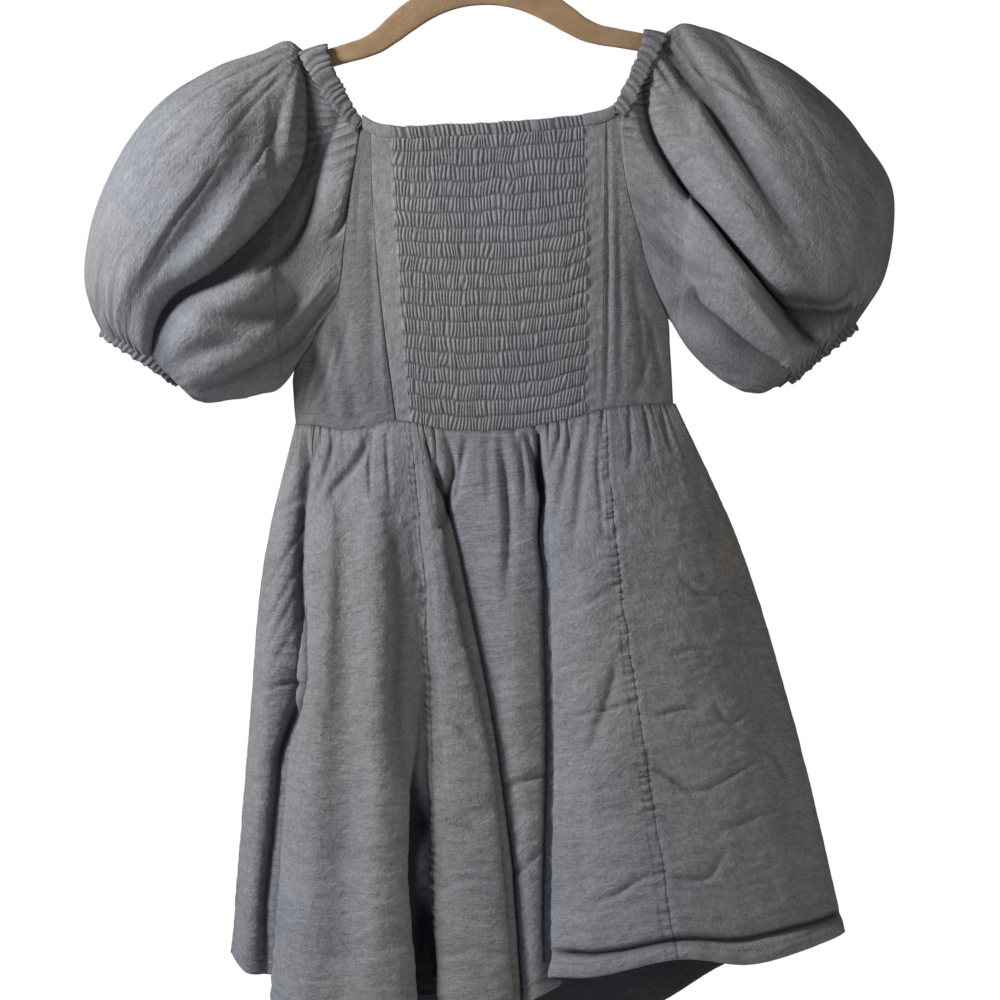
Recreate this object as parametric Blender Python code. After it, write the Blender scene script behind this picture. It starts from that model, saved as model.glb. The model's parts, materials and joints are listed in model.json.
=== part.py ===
"""A girl's smocked dress on a slim hanger, built as it is cut and sewn.

Sizes are in millimetres and are turned into metres as each mesh is made. The origin is the
inside of the hook's crown, where a rail carries the hanger. X runs to the right as the dress
is seen from the front, Y runs away to the back, and a "drop" is a distance below the crown.
"""

import math

import bmesh
import bpy
import numpy as np

METRES = 0.001
CLOTH = 1.5
SEAM = 0.3

DRESS_BLUE = (0.120, 0.128, 0.150, 1.0)
CASING_BLUE = (0.105, 0.112, 0.132, 1.0)
HANGER_TAN = (0.300, 0.205, 0.125, 1.0)
HOOK_STEEL = (0.620, 0.610, 0.590, 1.0)


# Curves and walls

def through(knots, values, at):
    """A smooth curve through values (a row for each knot), read at the places given."""
    knots = np.asarray(knots, float)
    values = np.asarray(values, float)
    at = np.clip(np.asarray(at, float), knots[0], knots[-1])
    slopes = np.gradient(values, knots, axis=0)
    span = np.clip(np.searchsorted(knots, at, side="right") - 1, 0, len(knots) - 2)
    length = knots[span + 1] - knots[span]
    share = (at - knots[span]) / length
    extra = values.ndim - 1
    share = share.reshape(share.shape + (1,) * extra)
    length = length.reshape(length.shape + (1,) * extra)
    start, end = values[span], values[span + 1]
    leave, arrive = slopes[span] * length, slopes[span + 1] * length
    return (
        start * (2 * share**3 - 3 * share**2 + 1)
        + leave * (share**3 - 2 * share**2 + share)
        + end * (3 * share**2 - 2 * share**3)
        + arrive * (share**3 - share**2)
    )


def column(table, index):
    """One named column of a table of rows."""
    return [row[index] for row in table]


def blend(a, b, share):
    return a + (b - a) * share


def ease(value):
    """0 below 0, 1 above 1, and smooth between."""
    value = np.clip(value, 0.0, 1.0)
    return value * value * (3 - 2 * value)


def unit(vectors):
    return vectors / np.maximum(np.linalg.norm(vectors, axis=-1, keepdims=True), 1e-9)


def material(name, colour, roughness, metallic=0.0):
    made = bpy.data.materials.get(name) or bpy.data.materials.new(name)
    made.use_nodes = True
    shader = made.node_tree.nodes["Principled BSDF"]
    shader.inputs["Base Color"].default_value = colour
    shader.inputs["Roughness"].default_value = roughness
    shader.inputs["Metallic"].default_value = metallic
    return made


def solid(name, points, faces, finish, sharp_angle=50):
    """A closed mesh object from points in millimetres."""
    mesh = bpy.data.meshes.new(name)
    mesh.from_pydata((np.asarray(points, float) * METRES).tolist(), [], faces)
    work = bmesh.new()
    work.from_mesh(mesh)
    bmesh.ops.recalc_face_normals(work, faces=work.faces)
    work.to_mesh(mesh)
    work.free()
    mesh.shade_smooth()
    mesh.set_sharp_from_angle(angle=math.radians(sharp_angle))
    mesh.materials.append(finish)
    made = bpy.data.objects.new(name, mesh)
    bpy.context.scene.collection.objects.link(made)
    return made


def wall(name, outer, inner, finish, closed=False):
    """Cloth between two grids of points, rows by columns; closed joins the last column to the first."""
    rows, columns = outer.shape[:2]
    points = np.concatenate([outer.reshape(-1, 3), inner.reshape(-1, 3)])
    inside = rows * columns

    def at(row, col):
        return row * columns + col % columns

    faces = []
    spans = columns if closed else columns - 1
    for row in range(rows - 1):
        for col in range(spans):
            a, b = at(row, col), at(row, col + 1)
            c, d = at(row + 1, col + 1), at(row + 1, col)
            faces += [(a, b, c), (a, c, d)]
            faces += [(inside + a, inside + c, inside + b), (inside + a, inside + d, inside + c)]
    for col in range(spans):
        for row in (0, rows - 1):
            a, b = at(row, col), at(row, col + 1)
            faces.append((a, b, inside + b, inside + a))
    if not closed:
        for row in range(rows - 1):
            for col in (0, columns - 1):
                a, b = at(row, col), at(row + 1, col)
                faces.append((a, b, inside + b, inside + a))
    return solid(name, points, faces, finish)


def outward(surface, across, down, step=1e-3):
    """The unit normals of a surface(across, down) at every crossing of the two lists."""
    right = surface(across + step, down) - surface(across - step, down)
    low = surface(across, down + step) - surface(across, down - step)
    return unit(np.cross(low, right))


def sweep(name, centres, across, out, section, finish, closed=False):
    """A band: section is a list of (share across, share out) at each centre."""
    rings = np.stack([centres + across * u + out * w for u, w in section], axis=1)
    stations, sides = rings.shape[:2]
    faces = []
    for i in range(stations if closed else stations - 1):
        for j in range(sides):
            a, b = i * sides + j, i * sides + (j + 1) % sides
            c, d = (i + 1) % stations * sides + (j + 1) % sides, (i + 1) % stations * sides + j
            faces.append((a, b, c, d))
    if not closed:
        faces.append(tuple(range(sides)))
        faces.append(tuple(range((stations - 1) * sides, stations * sides)))
    return solid(name, rings.reshape(-1, 3), faces, finish)


# The rounded section of a casing, as shares of its half width and half thickness
BAND_SECTION = [(-1.0, 0.0), (-0.72, 1.0), (0.72, 1.0), (1.0, 0.0), (0.72, -1.0), (-0.72, -1.0)]
ROUND_SECTION = [(math.cos(a), math.sin(a)) for a in np.arange(7) * 2 * math.pi / 7]


# The bodice's outline

# drop, x of the cloth's edge, how far the edge stands off the middle plane
LEFT_EDGE = [
    (150, -74.0, 10.0),
    (157, -76.0, 11.0),
    (180, -80.0, 12.0),
    (214, -85.0, 13.0),
    (240, -88.0, 13.0),
    (263, -91.0, 12.0),
    (278, -97.0, 10.0),
    (296, -108.0, 5.5),
    (315, -120.5, 0.2),
    (335, -121.0, 0.2),
    (356, -119.0, 0.2),
]
RIGHT_EDGE = [
    (140, 88.0, 10.0),
    (151, 90.0, 11.0),
    (166, 91.0, 12.0),
    (182, 92.5, 13.0),
    (205, 96.5, 13.0),
    (228, 103.0, 12.0),
    (244, 107.0, 10.0),
    (262, 113.5, 5.5),
    (281, 122.0, 0.2),
    (300, 123.5, 0.2),
    (356, 126.5, 0.2),
]
UNDERARM_DROP = {"left": 315.0, "right": 281.0}
CORNER_DROP = {"left": 160.0, "right": 151.0}

# x, drop of the sewn neckline under its casing
NECKLINE = [
    (-77, 159.0),
    (-68, 164.5),
    (-52, 167.0),
    (-20, 166.0),
    (13, 164.5),
    (46, 162.0),
    (69, 159.0),
    (80, 156.5),
    (90, 151.5),
]

BACK_NECKLINE = [
    (-77, 159.5),
    (-52, 167.0),
    (10, 168.5),
    (64, 163.0),
    (90, 152.0),
]

# x, drop of the waist seam
WAIST = [
    (-120, 350.0),
    (-104, 351.5),
    (-85, 354.0),
    (-70, 352.0),
    (-59, 348.5),
    (-46, 349.0),
    (-26, 353.5),
    (0, 355.0),
    (26, 353.0),
    (52, 348.5),
    (72, 343.0),
    (86, 340.0),
    (106, 338.0),
    (127, 337.0),
]

# drop, half depth at the middle, x of the left and right princess seams, x of the smocked block's sides
BODICE_LEVELS = [
    (155, 13.0, -70.5, 81.5, -57.5, 69.0),
    (205, 18.0, -69.0, 80.5, -56.5, 69.5),
    (244, 20.5, -66.0, 80.0, -53.5, 70.0),
    (284, 21.5, -62.0, 79.5, -51.0, 70.0),
    (320, 20.5, -57.5, 79.0, -48.0, 69.5),
    (356, 18.0, -53.0, 79.0, -45.0, 69.0),
]


def level(index, drop):
    return through(column(BODICE_LEVELS, 0), column(BODICE_LEVELS, index), drop)


def edge_x(side, drop):
    table = LEFT_EDGE if side == "left" else RIGHT_EDGE
    return through(column(table, 0), column(table, 1), drop)


def edge_depth(side, drop):
    table = LEFT_EDGE if side == "left" else RIGHT_EDGE
    return np.maximum(np.interp(drop, column(table, 0), column(table, 2)), SEAM / 2 + 0.05)


def neck_drop(x, face=-1):
    """Drop of the neckline's seam; the back neck hangs a little lower than the front."""
    table = NECKLINE if face < 0 else BACK_NECKLINE
    return through(column(table, 0), column(table, 1), x)


def waist_drop(x, face=-1):
    """Drop of the waist seam, which is drawn up in front and nearly straight behind."""
    knots = column(WAIST, 0) if face < 0 else [WAIST[0][0], WAIST[-1][0]]
    drops = column(WAIST, 1) if face < 0 else [WAIST[0][1], WAIST[-1][1]]
    return through(knots, drops, x)


def bodice_depth(x, drop):
    """Half the depth of the hanging bodice at a place on its outline."""
    left, right = edge_x("left", drop), edge_x("right", drop)
    share = np.clip((x - left) / (right - left), 0.0, 1.0)
    edge = blend(edge_depth("left", drop), edge_depth("right", drop), share)
    crown = 1 - (2 * share - 1) ** 4
    return edge + np.maximum(level(1, drop) - edge, 0) * crown


# The bodice

SMOCK_ROWS = 19
SMOCK_RIBS = 42
PUFF_HEIGHT = 1.7
STITCH_DEPTH = 0.3


def panel_edge(kind, drop):
    """x of a named edge of a bodice piece."""
    if kind in ("left", "right"):
        return edge_x(kind, drop)
    return level({"left seam": 2, "right seam": 3}[kind], drop)


def panel(a, b, shares, falls, face):
    """Points of the bodice between edges a and b: shares run across and falls from neck to waist."""
    tops = [CORNER_DROP.get(k, 160.0) for k in (a, b)]
    neck_x = blend(panel_edge(a, tops[0]), panel_edge(b, tops[1]), shares)
    waist_x = blend(panel_edge(a, 350.0), panel_edge(b, 340.0), shares)
    top = neck_drop(neck_x, face)
    bottom = waist_drop(waist_x, face) - SEAM
    drop = blend(top[None, :], bottom[None, :], falls[:, None])
    ends = [blend(d[0], d[1], falls) for d in ((top[0], bottom[0]), (top[-1], bottom[-1]))]
    x_a, x_b = panel_edge(a, ends[0]), panel_edge(b, ends[1])
    x = blend(x_a[:, None], x_b[:, None], shares[None, :])
    y = face * bodice_depth(x, drop)
    return np.stack([x, y, -drop], axis=-1)


def grid_normals(points, face):
    """Unit normals of a grid of points, facing the front (-1) or the back (1)."""
    down = np.gradient(points, axis=0)
    right = np.gradient(points, axis=1)
    normals = unit(np.cross(down, right))
    return normals * np.where(normals[..., 1:2] * face < 0, -1.0, 1.0)


def lined(points, face, butted=()):
    """The inside of a bodice piece, square to the edges that butt on another piece in front."""
    normals = grid_normals(points, face)
    for edge in butted:
        normals[:, edge, 0] = 0.0
    inside = points - unit(normals) * CLOTH
    low = SEAM / 2
    inside[..., 1] = np.minimum(inside[..., 1], -low) if face < 0 else np.maximum(inside[..., 1], low)
    return inside


def inset(points):
    """Draws the two side edges of a piece in by half a seam."""
    points = points.copy()
    for edge, near in ((0, 1), (-1, -2)):
        points[:, edge] += unit(points[:, near] - points[:, edge]) * SEAM / 2
    return points


def bridge(points, first, second, faces):
    """Fills between two runs of points that lie side by side, by their lengths."""
    def along(run):
        steps = np.linalg.norm(np.diff(points[run], axis=0), axis=1)
        return np.concatenate([[0], np.cumsum(steps)]) / steps.sum()

    a, b = along(first), along(second)
    i = j = 0
    while i < len(first) - 1 or j < len(second) - 1:
        ahead = a[i + 1] if i < len(first) - 1 else 2.0
        beside = b[j + 1] if j < len(second) - 1 else 2.0
        if ahead <= beside:
            faces.append((first[i], first[i + 1], second[j]))
            i += 1
        else:
            faces.append((first[i], second[j + 1], second[j]))
            j += 1


def front_centre(finish):
    """The shirred panel: rows of elastic stitching, the cloth puffed between them, over a plain inside."""
    ribs = np.linspace(0, 1, SMOCK_RIBS + 1)
    falls = np.linspace(0, 1, SMOCK_ROWS + 1)
    base = panel("left seam", "right seam", np.linspace(0, 1, 5), falls, -1)
    left_x, right_x = base[:, 0, 0] + SEAM / 2, base[:, -1, 0] - SEAM / 2
    drops = -base[:, 0, 2]
    smock_left, smock_right = level(4, drops), level(5, drops)

    def at(x_shares, fall_index, fall, lift):
        x_a = np.interp(fall_index, np.arange(SMOCK_ROWS + 1), smock_left)
        x_b = np.interp(fall_index, np.arange(SMOCK_ROWS + 1), smock_right)
        x = blend(x_a, x_b, x_shares)
        return on_front(x, fall, lift)

    def on_front(x, fall, lift):
        drop = blend(neck_drop(x), waist_drop(x) - SEAM, fall)
        return np.stack([x, -bodice_depth(x, drop) - lift, -drop], axis=-1)

    points, corner = [], {}
    for row, fall in enumerate(falls):
        margin_left = np.array([left_x[row], blend(left_x[row], smock_left[row], 0.5)])
        margin_right = np.array([blend(smock_right[row], right_x[row], 0.5), right_x[row]])
        line = np.concatenate(
            [
                on_front(margin_left, fall, 0.0),
                at(ribs, row, fall, -STITCH_DEPTH),
                on_front(margin_right, fall, 0.0),
            ]
        )
        for col, point in enumerate(line):
            corner[row, col] = len(points)
            points.append(point)
    columns = SMOCK_RIBS + 5
    faces = []
    middles = (ribs[:-1] + ribs[1:]) / 2
    for row in range(SMOCK_ROWS):
        fall = (falls[row] + falls[row + 1]) / 2
        tops = at(middles, row + 0.5, fall, PUFF_HEIGHT)
        for col in range(columns - 1):
            a, b = corner[row, col], corner[row, col + 1]
            c, d = corner[row + 1, col + 1], corner[row + 1, col]
            rib = col - 2
            if 0 <= rib < SMOCK_RIBS:
                top = len(points)
                points.append(tops[rib])
                faces += [(a, b, top), (b, c, top), (c, d, top), (d, a, top)]
            else:
                faces += [(a, b, c), (a, c, d)]
    plain_falls = np.linspace(0.006, 0.994, 8)
    plain_rows = plain_falls * SMOCK_ROWS
    plain = []
    for fall, row in zip(plain_falls, plain_rows):
        ends = [np.interp(row, np.arange(SMOCK_ROWS + 1), x) for x in (left_x, right_x)]
        line = []
        for x in np.linspace(ends[0], ends[1], 9):
            line.append(len(points))
            points.append(on_front(np.array([x]), fall, -CLOTH - STITCH_DEPTH)[0])
        plain.append(line)
    for upper, lower in zip(plain[:-1], plain[1:]):
        for col in range(8):
            faces.append((upper[col], lower[col], lower[col + 1]))
            faces.append((upper[col], lower[col + 1], upper[col + 1]))
    points = np.array(points)
    last = SMOCK_ROWS
    bridge(points, [corner[0, c] for c in range(columns)], plain[0], faces)
    bridge(points, [corner[last, c] for c in range(columns)], plain[-1], faces)
    bridge(points, [corner[r, 0] for r in range(last + 1)], [line[0] for line in plain], faces)
    bridge(points, [corner[r, columns - 1] for r in range(last + 1)], [line[-1] for line in plain], faces)
    return solid("front_centre", points, faces, finish, sharp_angle=20)


def bodice(finish):
    front_centre(finish)
    rows = np.linspace(0, 1, 15)
    across = np.linspace(0, 1, 8)
    for name, a, b, shares, seam in (
        ("front_side_left", "left", "left seam", across, -1),
        ("front_side_right", "right seam", "right", across, 0),
    ):
        points = inset(panel(a, b, shares, rows, -1))
        wall(name, points, lined(points, -1, [seam]), finish)
    points = inset(panel("left", "right", np.linspace(0, 1, 17), rows, 1))
    wall("back_bodice", points, lined(points, 1), finish)


# The hanger

BAR_THICK = 5.0
BAR_TILT = math.radians(3.2)
BAR_TURNS_ABOUT = 80.0
ARM_STARTS = 90.0
ARM_STATIONS = 5
HUMP_STATIONS = 25

# distance from the hanger's middle, drop of the bar's upper edge, drop of its lower edge
BAR_PROFILE = [
    (0, 62.0, 78.0),
    (14, 62.6, 79.2),
    (27, 64.6, 83.0),
    (38, 68.5, 88.5),
    (48, 74.0, 95.0),
    (57, 81.0, 101.0),
    (66, 89.0, 105.5),
    (75, 94.5, 108.0),
    (86, 97.8, 110.2),
    (100, 101.3, 113.3),
    (120, 106.6, 118.3),
    (145, 113.2, 124.6),
    (160, 117.2, 127.6),
    (167, 119.6, 127.2),
]


def tilted(x, drop):
    """A place on the level hanger, turned as the hanger hangs, left arm low."""
    down = drop - BAR_TURNS_ABOUT
    return (
        x * math.cos(BAR_TILT) + down * math.sin(BAR_TILT),
        BAR_TURNS_ABOUT + down * math.cos(BAR_TILT) - x * math.sin(BAR_TILT),
    )


def arm_top(x):
    """Drop of the arm's upper edge at x."""
    reach = abs(x)
    drop = float(through(column(BAR_PROFILE, 0), column(BAR_PROFILE, 1), np.array([reach]))[0])
    return tilted(x, drop)[1]


def hanger():
    tan = material("hanger_velvet", HANGER_TAN, 0.9)
    profile = [(-x, top, low) for x, top, low in BAR_PROFILE[:0:-1]] + BAR_PROFILE
    knots = np.array(column(profile, 0))
    arm = np.linspace(ARM_STARTS, knots[-1], ARM_STATIONS)
    hump = np.linspace(-ARM_STARTS, ARM_STARTS, HUMP_STATIONS)[1:-1]
    places = np.concatenate([-arm[::-1], hump, arm])
    tops = through(knots, column(profile, 1), places)
    lows = through(knots, column(profile, 2), places)
    slope = np.gradient((tops + lows) / 2, places)
    along = unit(np.stack([np.ones_like(slope), slope], axis=-1))
    half_height = (lows - tops) / 2 * along[:, 0]
    centres, across = [], []
    for x, drop, h, (run, fall) in zip(places, (tops + lows) / 2, half_height, along):
        cx, cd = tilted(x, drop)
        ux, ud = tilted(x + fall * h, drop - run * h)
        centres.append((cx, 0.0, -cd))
        across.append((ux - cx, 0.0, cd - ud))
    across = np.array(across)
    out = np.tile([0.0, -BAR_THICK / 2, 0.0], (len(centres), 1))
    upper = [(-1.0, 0.35), (-0.8, 1.0), (0.8, 1.0), (1.0, 0.35)]
    section = upper + [(-u, -w) for u, w in upper]
    sweep("hanger_bar", np.array(centres), across, out, section, tan)


WIRE_R = 1.7
CROWN_R = 18.0
HOOK_STATIONS = 32


def hook():
    """The wire hook: a stem in a small collar, then most of a circle under the rail."""
    steel = material("hook_steel", HOOK_STEEL, 0.3, 1.0)
    wire_r = CROWN_R + WIRE_R
    foot_x, foot_drop = tilted(0.0, BAR_PROFILE[0][1])
    stem = [(foot_x, foot_drop - 0.5), (foot_x, foot_drop - 6.0), (foot_x + 0.2, foot_drop - 13.0)]
    bend = [(2.6, CROWN_R * 2 + 6.6), (8.0, CROWN_R * 2 + 2.0)]
    turns = np.radians(np.linspace(-48, 205, 12))
    ring = [(wire_r * math.cos(a), CROWN_R - wire_r * math.sin(a)) for a in turns]
    route = np.array(stem + bend + ring)
    steps = np.linalg.norm(np.diff(route, axis=0), axis=1)
    knots = np.concatenate([[0], np.cumsum(steps)])
    fine = through(knots, route, np.linspace(0, knots[-1], HOOK_STATIONS))
    centres = np.stack([fine[:, 0], np.zeros(len(fine)), -fine[:, 1]], axis=-1)
    along = unit(np.gradient(centres, axis=0))
    across = np.stack([-along[:, 2], np.zeros(len(along)), along[:, 0]], axis=-1) * WIRE_R
    collar = 1 + 0.9 * ease(1 - np.linspace(0, knots[-1], HOOK_STATIONS) / 5.0)
    out = np.tile([0.0, -WIRE_R, 0.0], (len(centres), 1))
    sweep("hanger_hook", centres, across * collar[:, None], out * collar[:, None], ROUND_SECTION, steel)


# The sleeves

SIGN = {"left": -1.0, "right": 1.0}
SHOULDER_SHARE = 0.2
CASING_THICK = 1.7

# share from the neck corner to the top of the shoulder: x, drop, half depth of the casing's
# free edge and of its stitched edge; the last row sits on the hanger's arm
SHOULDER = {
    "left": [
        (0.00, -75.5, 154.0, 10.5, -79.5, 160.0, 12.0),
        (0.18, -80.0, 147.0, 10.5, -87.0, 153.0, 12.5),
        (0.40, -86.0, 136.5, 10.5, -95.5, 142.5, 12.5),
        (0.62, -92.0, 124.0, 9.8, -105.0, 129.5, 11.5),
        (0.80, -96.5, 114.0, 7.6, -111.5, 119.0, 9.0),
        (0.93, -99.0, 105.5, 4.6, -115.0, 110.6, 5.2),
        (1.00, -99.5, 0.0, 0.0, -116.0, 0.0, 0.0),
    ],
    "right": [
        (0.00, 86.0, 146.0, 10.5, 92.5, 151.0, 12.0),
        (0.18, 90.0, 137.0, 10.5, 98.5, 143.0, 12.5),
        (0.40, 95.5, 126.0, 10.5, 104.0, 131.5, 12.5),
        (0.62, 100.5, 114.0, 9.8, 110.0, 118.0, 11.5),
        (0.80, 104.0, 104.0, 7.6, 116.0, 107.5, 9.0),
        (0.93, 106.0, 95.8, 4.6, 120.5, 99.0, 5.2),
        (1.00, 106.5, 0.0, 0.0, 122.0, 0.0, 0.0),
    ],
}

# share of the sleeve's length: x and drop of the upper outline, x and drop of the lower outline,
# half depth at the front and at the back
SLEEVE_RINGS = {
    "left": [
        (0.05, -124, 101.5, -123, 319, 19, 17),
        (0.12, -142, 108.0, -129, 326, 29, 25),
        (0.28, -172, 119.0, -142, 331, 43, 36),
        (0.48, -211, 146.0, -157, 334, 50, 42),
        (0.66, -239, 187.0, -170, 336, 46, 40),
        (0.82, -254, 231.0, -181, 336, 37, 33),
        (0.93, -255, 265.0, -188, 332, 26, 25),
        (1.00, -246, 287.0, -193, 322, 17, 17),
    ],
    "right": [
        (0.05, 130, 90.5, 125, 285, 19, 17),
        (0.12, 146, 93.0, 130, 294, 29, 25),
        (0.28, 176, 105.5, 138, 305, 43, 36),
        (0.48, 214, 128.5, 148, 315, 50, 42),
        (0.66, 247, 163.0, 160, 324, 46, 40),
        (0.82, 269, 208.0, 175, 330, 37, 33),
        (0.93, 261, 259.0, 187, 329, 26, 25),
        (1.00, 244, 283.0, 198, 321, 17, 17),
    ],
}

# the share of the sleeve's length at each column of the fold tables
FOLD_AT = (0.0, 0.10, 0.28, 0.48, 0.66, 0.82, 1.0)

# where each fold runs round the sleeve (0 on top, 0.25 in front, 0.5 below, 0.75 behind), how deep
# it is, its half width, and how far its upper side hangs over it
SLEEVE_FOLDS = {
    "left": [
        ((0.12, 0.25, 0.282, 0.292, 0.275, 0.272, 0.28), (1, 8, 22, 25, 22, 15, 2), 0.050, 5),
        ((0.08, 0.16, 0.215, 0.225, 0.230, 0.235, 0.24), (1, 5, 8, 9, 7, 3, 0), 0.034, 0),
        ((0.26, 0.36, 0.38, 0.38, 0.38, 0.38, 0.38), (0, 4, 6, 5, 4, 3, 0), 0.030, 0),
        ((0.88, 0.76, 0.72, 0.70, 0.71, 0.72, 0.72), (1, 10, 18, 20, 18, 12, 2), 0.050, 0),
        ((0.93, 0.85, 0.82, 0.81, 0.82, 0.82, 0.82), (0, 4, 7, 8, 6, 3, 0), 0.035, 0),
    ],
    "right": [
        ((0.13, 0.262, 0.288, 0.302, 0.305, 0.285, 0.24), (1, 7, 18, 21, 20, 16, 3), 0.050, 4),
        ((0.07, 0.13, 0.185, 0.195, 0.20, 0.20, 0.20), (1, 6, 8, 6, 3, 1, 0), 0.030, 0),
        ((0.30, 0.35, 0.37, 0.37, 0.365, 0.36, 0.36), (0, 2, 7, 9, 8, 4, 0), 0.030, 0),
        ((0.88, 0.76, 0.72, 0.70, 0.71, 0.72, 0.72), (1, 10, 18, 20, 18, 12, 2), 0.050, 0),
        ((0.93, 0.85, 0.82, 0.81, 0.82, 0.82, 0.82), (0, 4, 7, 8, 6, 3, 0), 0.035, 0),
    ],
}

CUFF_GATHERS = 20
SHOULDER_GATHERS = 8
CUFF_HALF_WIDTH = 4.5
GATHER_DEPTH = 2.0


def shoulder_edges(side, share):
    """The casing's free and stitched edges, from the neck corner (0) to the shoulder's top (1)."""
    table = [list(row) for row in SHOULDER[side]]
    rest = CASING_THICK * 1.26 + 2 * SEAM
    table[-1][2] = arm_top(table[-1][1]) - rest
    table[-1][5] = arm_top(table[-1][4]) - rest
    table = np.array(table)
    read = through(table[:, 0], table[:, 1:], share)
    free = np.stack([read[:, 0], -read[:, 2], -read[:, 1]], axis=-1)
    sewn = np.stack([read[:, 3], -read[:, 5], -read[:, 4]], axis=-1)
    return free, sewn


def mirrored(points):
    return points * np.array([1.0, -1.0, 1.0])


def armhole_ring(side, turn):
    """The edge that the sleeve is sewn by: over the shoulder, down the front armhole, up the back."""
    turn = np.mod(turn, 1.0)
    behind = turn > 0.5
    half = np.where(behind, 1 - turn, turn)
    free, sewn = shoulder_edges(side, 1 - half / SHOULDER_SHARE)
    sewn = sewn + unit(sewn - free) * (SEAM + 0.2)
    fall = np.clip((half - SHOULDER_SHARE) / (0.5 - SHOULDER_SHARE), 0, 1)
    drop = blend(CORNER_DROP[side] + 2.0, UNDERARM_DROP[side] + 1.0, fall)
    hole = np.stack(
        [edge_x(side, drop) + SIGN[side] * (SEAM + 0.5), -edge_depth(side, drop), -drop],
        axis=-1,
    )
    near = ease((half - SHOULDER_SHARE + 0.015) / 0.03)[:, None]
    ring = blend(sewn, hole, near)
    return np.where(behind[:, None], mirrored(ring), ring)


def oval_rings(side, turn):
    """The sleeve's rings from its outline, as ovals whose ends are on the outline."""
    angle = 2 * math.pi * np.asarray(turn)
    rings = []
    for share, top_x, top_drop, low_x, low_drop, front, back in SLEEVE_RINGS[side]:
        middle = np.array([(top_x + low_x) / 2, 0.0, -(top_drop + low_drop) / 2])
        half = np.array([(top_x - low_x) / 2, 0.0, -(top_drop - low_drop) / 2])
        depth = np.where(np.sin(angle) > 0, front, back) * np.sin(angle)
        rings.append(middle + half * np.cos(angle)[:, None] - depth[:, None] * np.array([0.0, 1.0, 0.0]))
    return rings


def sleeve_surface(side):
    """The sleeve as a surface of (turn, share of length), folds and gathers in it."""
    def surface(turn, length):
        rings = np.array([armhole_ring(side, turn)] + oval_rings(side, turn))
        knots = [0.0] + column(SLEEVE_RINGS[side], 0)
        points = through(knots, rings, length)
        middle = points.mean(axis=1, keepdims=True)
        inward = unit(middle - points)
        chord = np.array([row[1:5] for row in SLEEVE_RINGS[side]])
        down = through(column(SLEEVE_RINGS[side], 0), chord, length)
        down = unit(np.stack([down[:, 2] - down[:, 0], np.zeros(len(down)), down[:, 1] - down[:, 3]], axis=-1))
        push = np.zeros(points.shape[:2])
        lean = np.zeros(points.shape[:2])
        for place, depth, width, overhang in SLEEVE_FOLDS[side]:
            centre = through(FOLD_AT, place, length)[:, None]
            deep = through(FOLD_AT, depth, length)[:, None]
            gap = np.mod(turn[None, :] - centre + 0.5, 1.0) - 0.5
            push += deep * np.exp(-((gap / width) ** 2))
            lean += overhang * deep / max(depth) * np.exp(-(((gap + 0.7 * width) / width) ** 2))
        half = np.abs(np.mod(turn + 0.5, 1.0) - 0.5)
        near_cuff = ease((length - 0.8) / 0.2)[:, None]
        near_neck = (np.exp(-length / 0.13) * ease(length / 0.03))[:, None]
        on_shoulder = ease((SHOULDER_SHARE + 0.05 - half) / 0.08)[None, :]
        cuff_wave = np.cos(2 * math.pi * CUFF_GATHERS * turn)[None, :]
        neck_wave = np.cos(math.pi * SHOULDER_GATHERS * half / SHOULDER_SHARE)[None, :]
        push += GATHER_DEPTH * 0.6 * near_cuff * cuff_wave
        push += GATHER_DEPTH * near_neck * on_shoulder * neck_wave
        return points + inward * push[..., None] + down[:, None, :] * lean[..., None]

    return surface


def sleeves(finish, casing_finish):
    turns = np.arange(2 * CUFF_GATHERS) / (2 * CUFF_GATHERS)
    lengths = np.array([0.0, 0.03, 0.08, 0.16, 0.27, 0.39, 0.51, 0.63, 0.74, 0.84, 0.93, 1.0])
    for side in ("left", "right"):
        surface = sleeve_surface(side)
        outer = surface(turns, lengths)
        normals = outward(surface, turns, np.clip(lengths, 2e-3, 1 - 2e-3))
        centre = outer.mean(axis=1, keepdims=True)
        facing = np.sign((normals * (outer - centre)).sum(axis=-1).sum())
        wall(f"sleeve_{side}", outer, outer - normals * facing * CLOTH, finish, closed=True)
        cuff(side, casing_finish)
        shoulder_casing(side, casing_finish)


def cuff(side, finish):
    """The elastic cuff, sewn on just past the sleeve's last ring and drawn up in ribs."""
    turns = np.arange(2 * CUFF_GATHERS) / (2 * CUFF_GATHERS)
    ring = oval_rings(side, turns)[-1]
    middle = ring.mean(axis=0)
    _, top_x, top_drop, low_x, low_drop, _, _ = SLEEVE_RINGS[side][-1]
    chord = unit(np.array([top_x - low_x, 0.0, low_drop - top_drop]))
    axis = np.array([chord[2], 0.0, -chord[0]])
    if axis[2] > 0:
        axis = -axis
    out = unit(ring - middle)
    rib = 1.0 + 0.28 * np.cos(2 * math.pi * CUFF_GATHERS * turns)[:, None]
    centres = ring + axis * (SEAM + 0.5 + CUFF_HALF_WIDTH) - out * (CASING_THICK + 0.3)
    across = np.tile(axis * CUFF_HALF_WIDTH, (len(ring), 1))
    sweep(f"cuff_{side}", centres, across, out * CASING_THICK * rib, BAND_SECTION, finish, closed=True)


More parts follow.
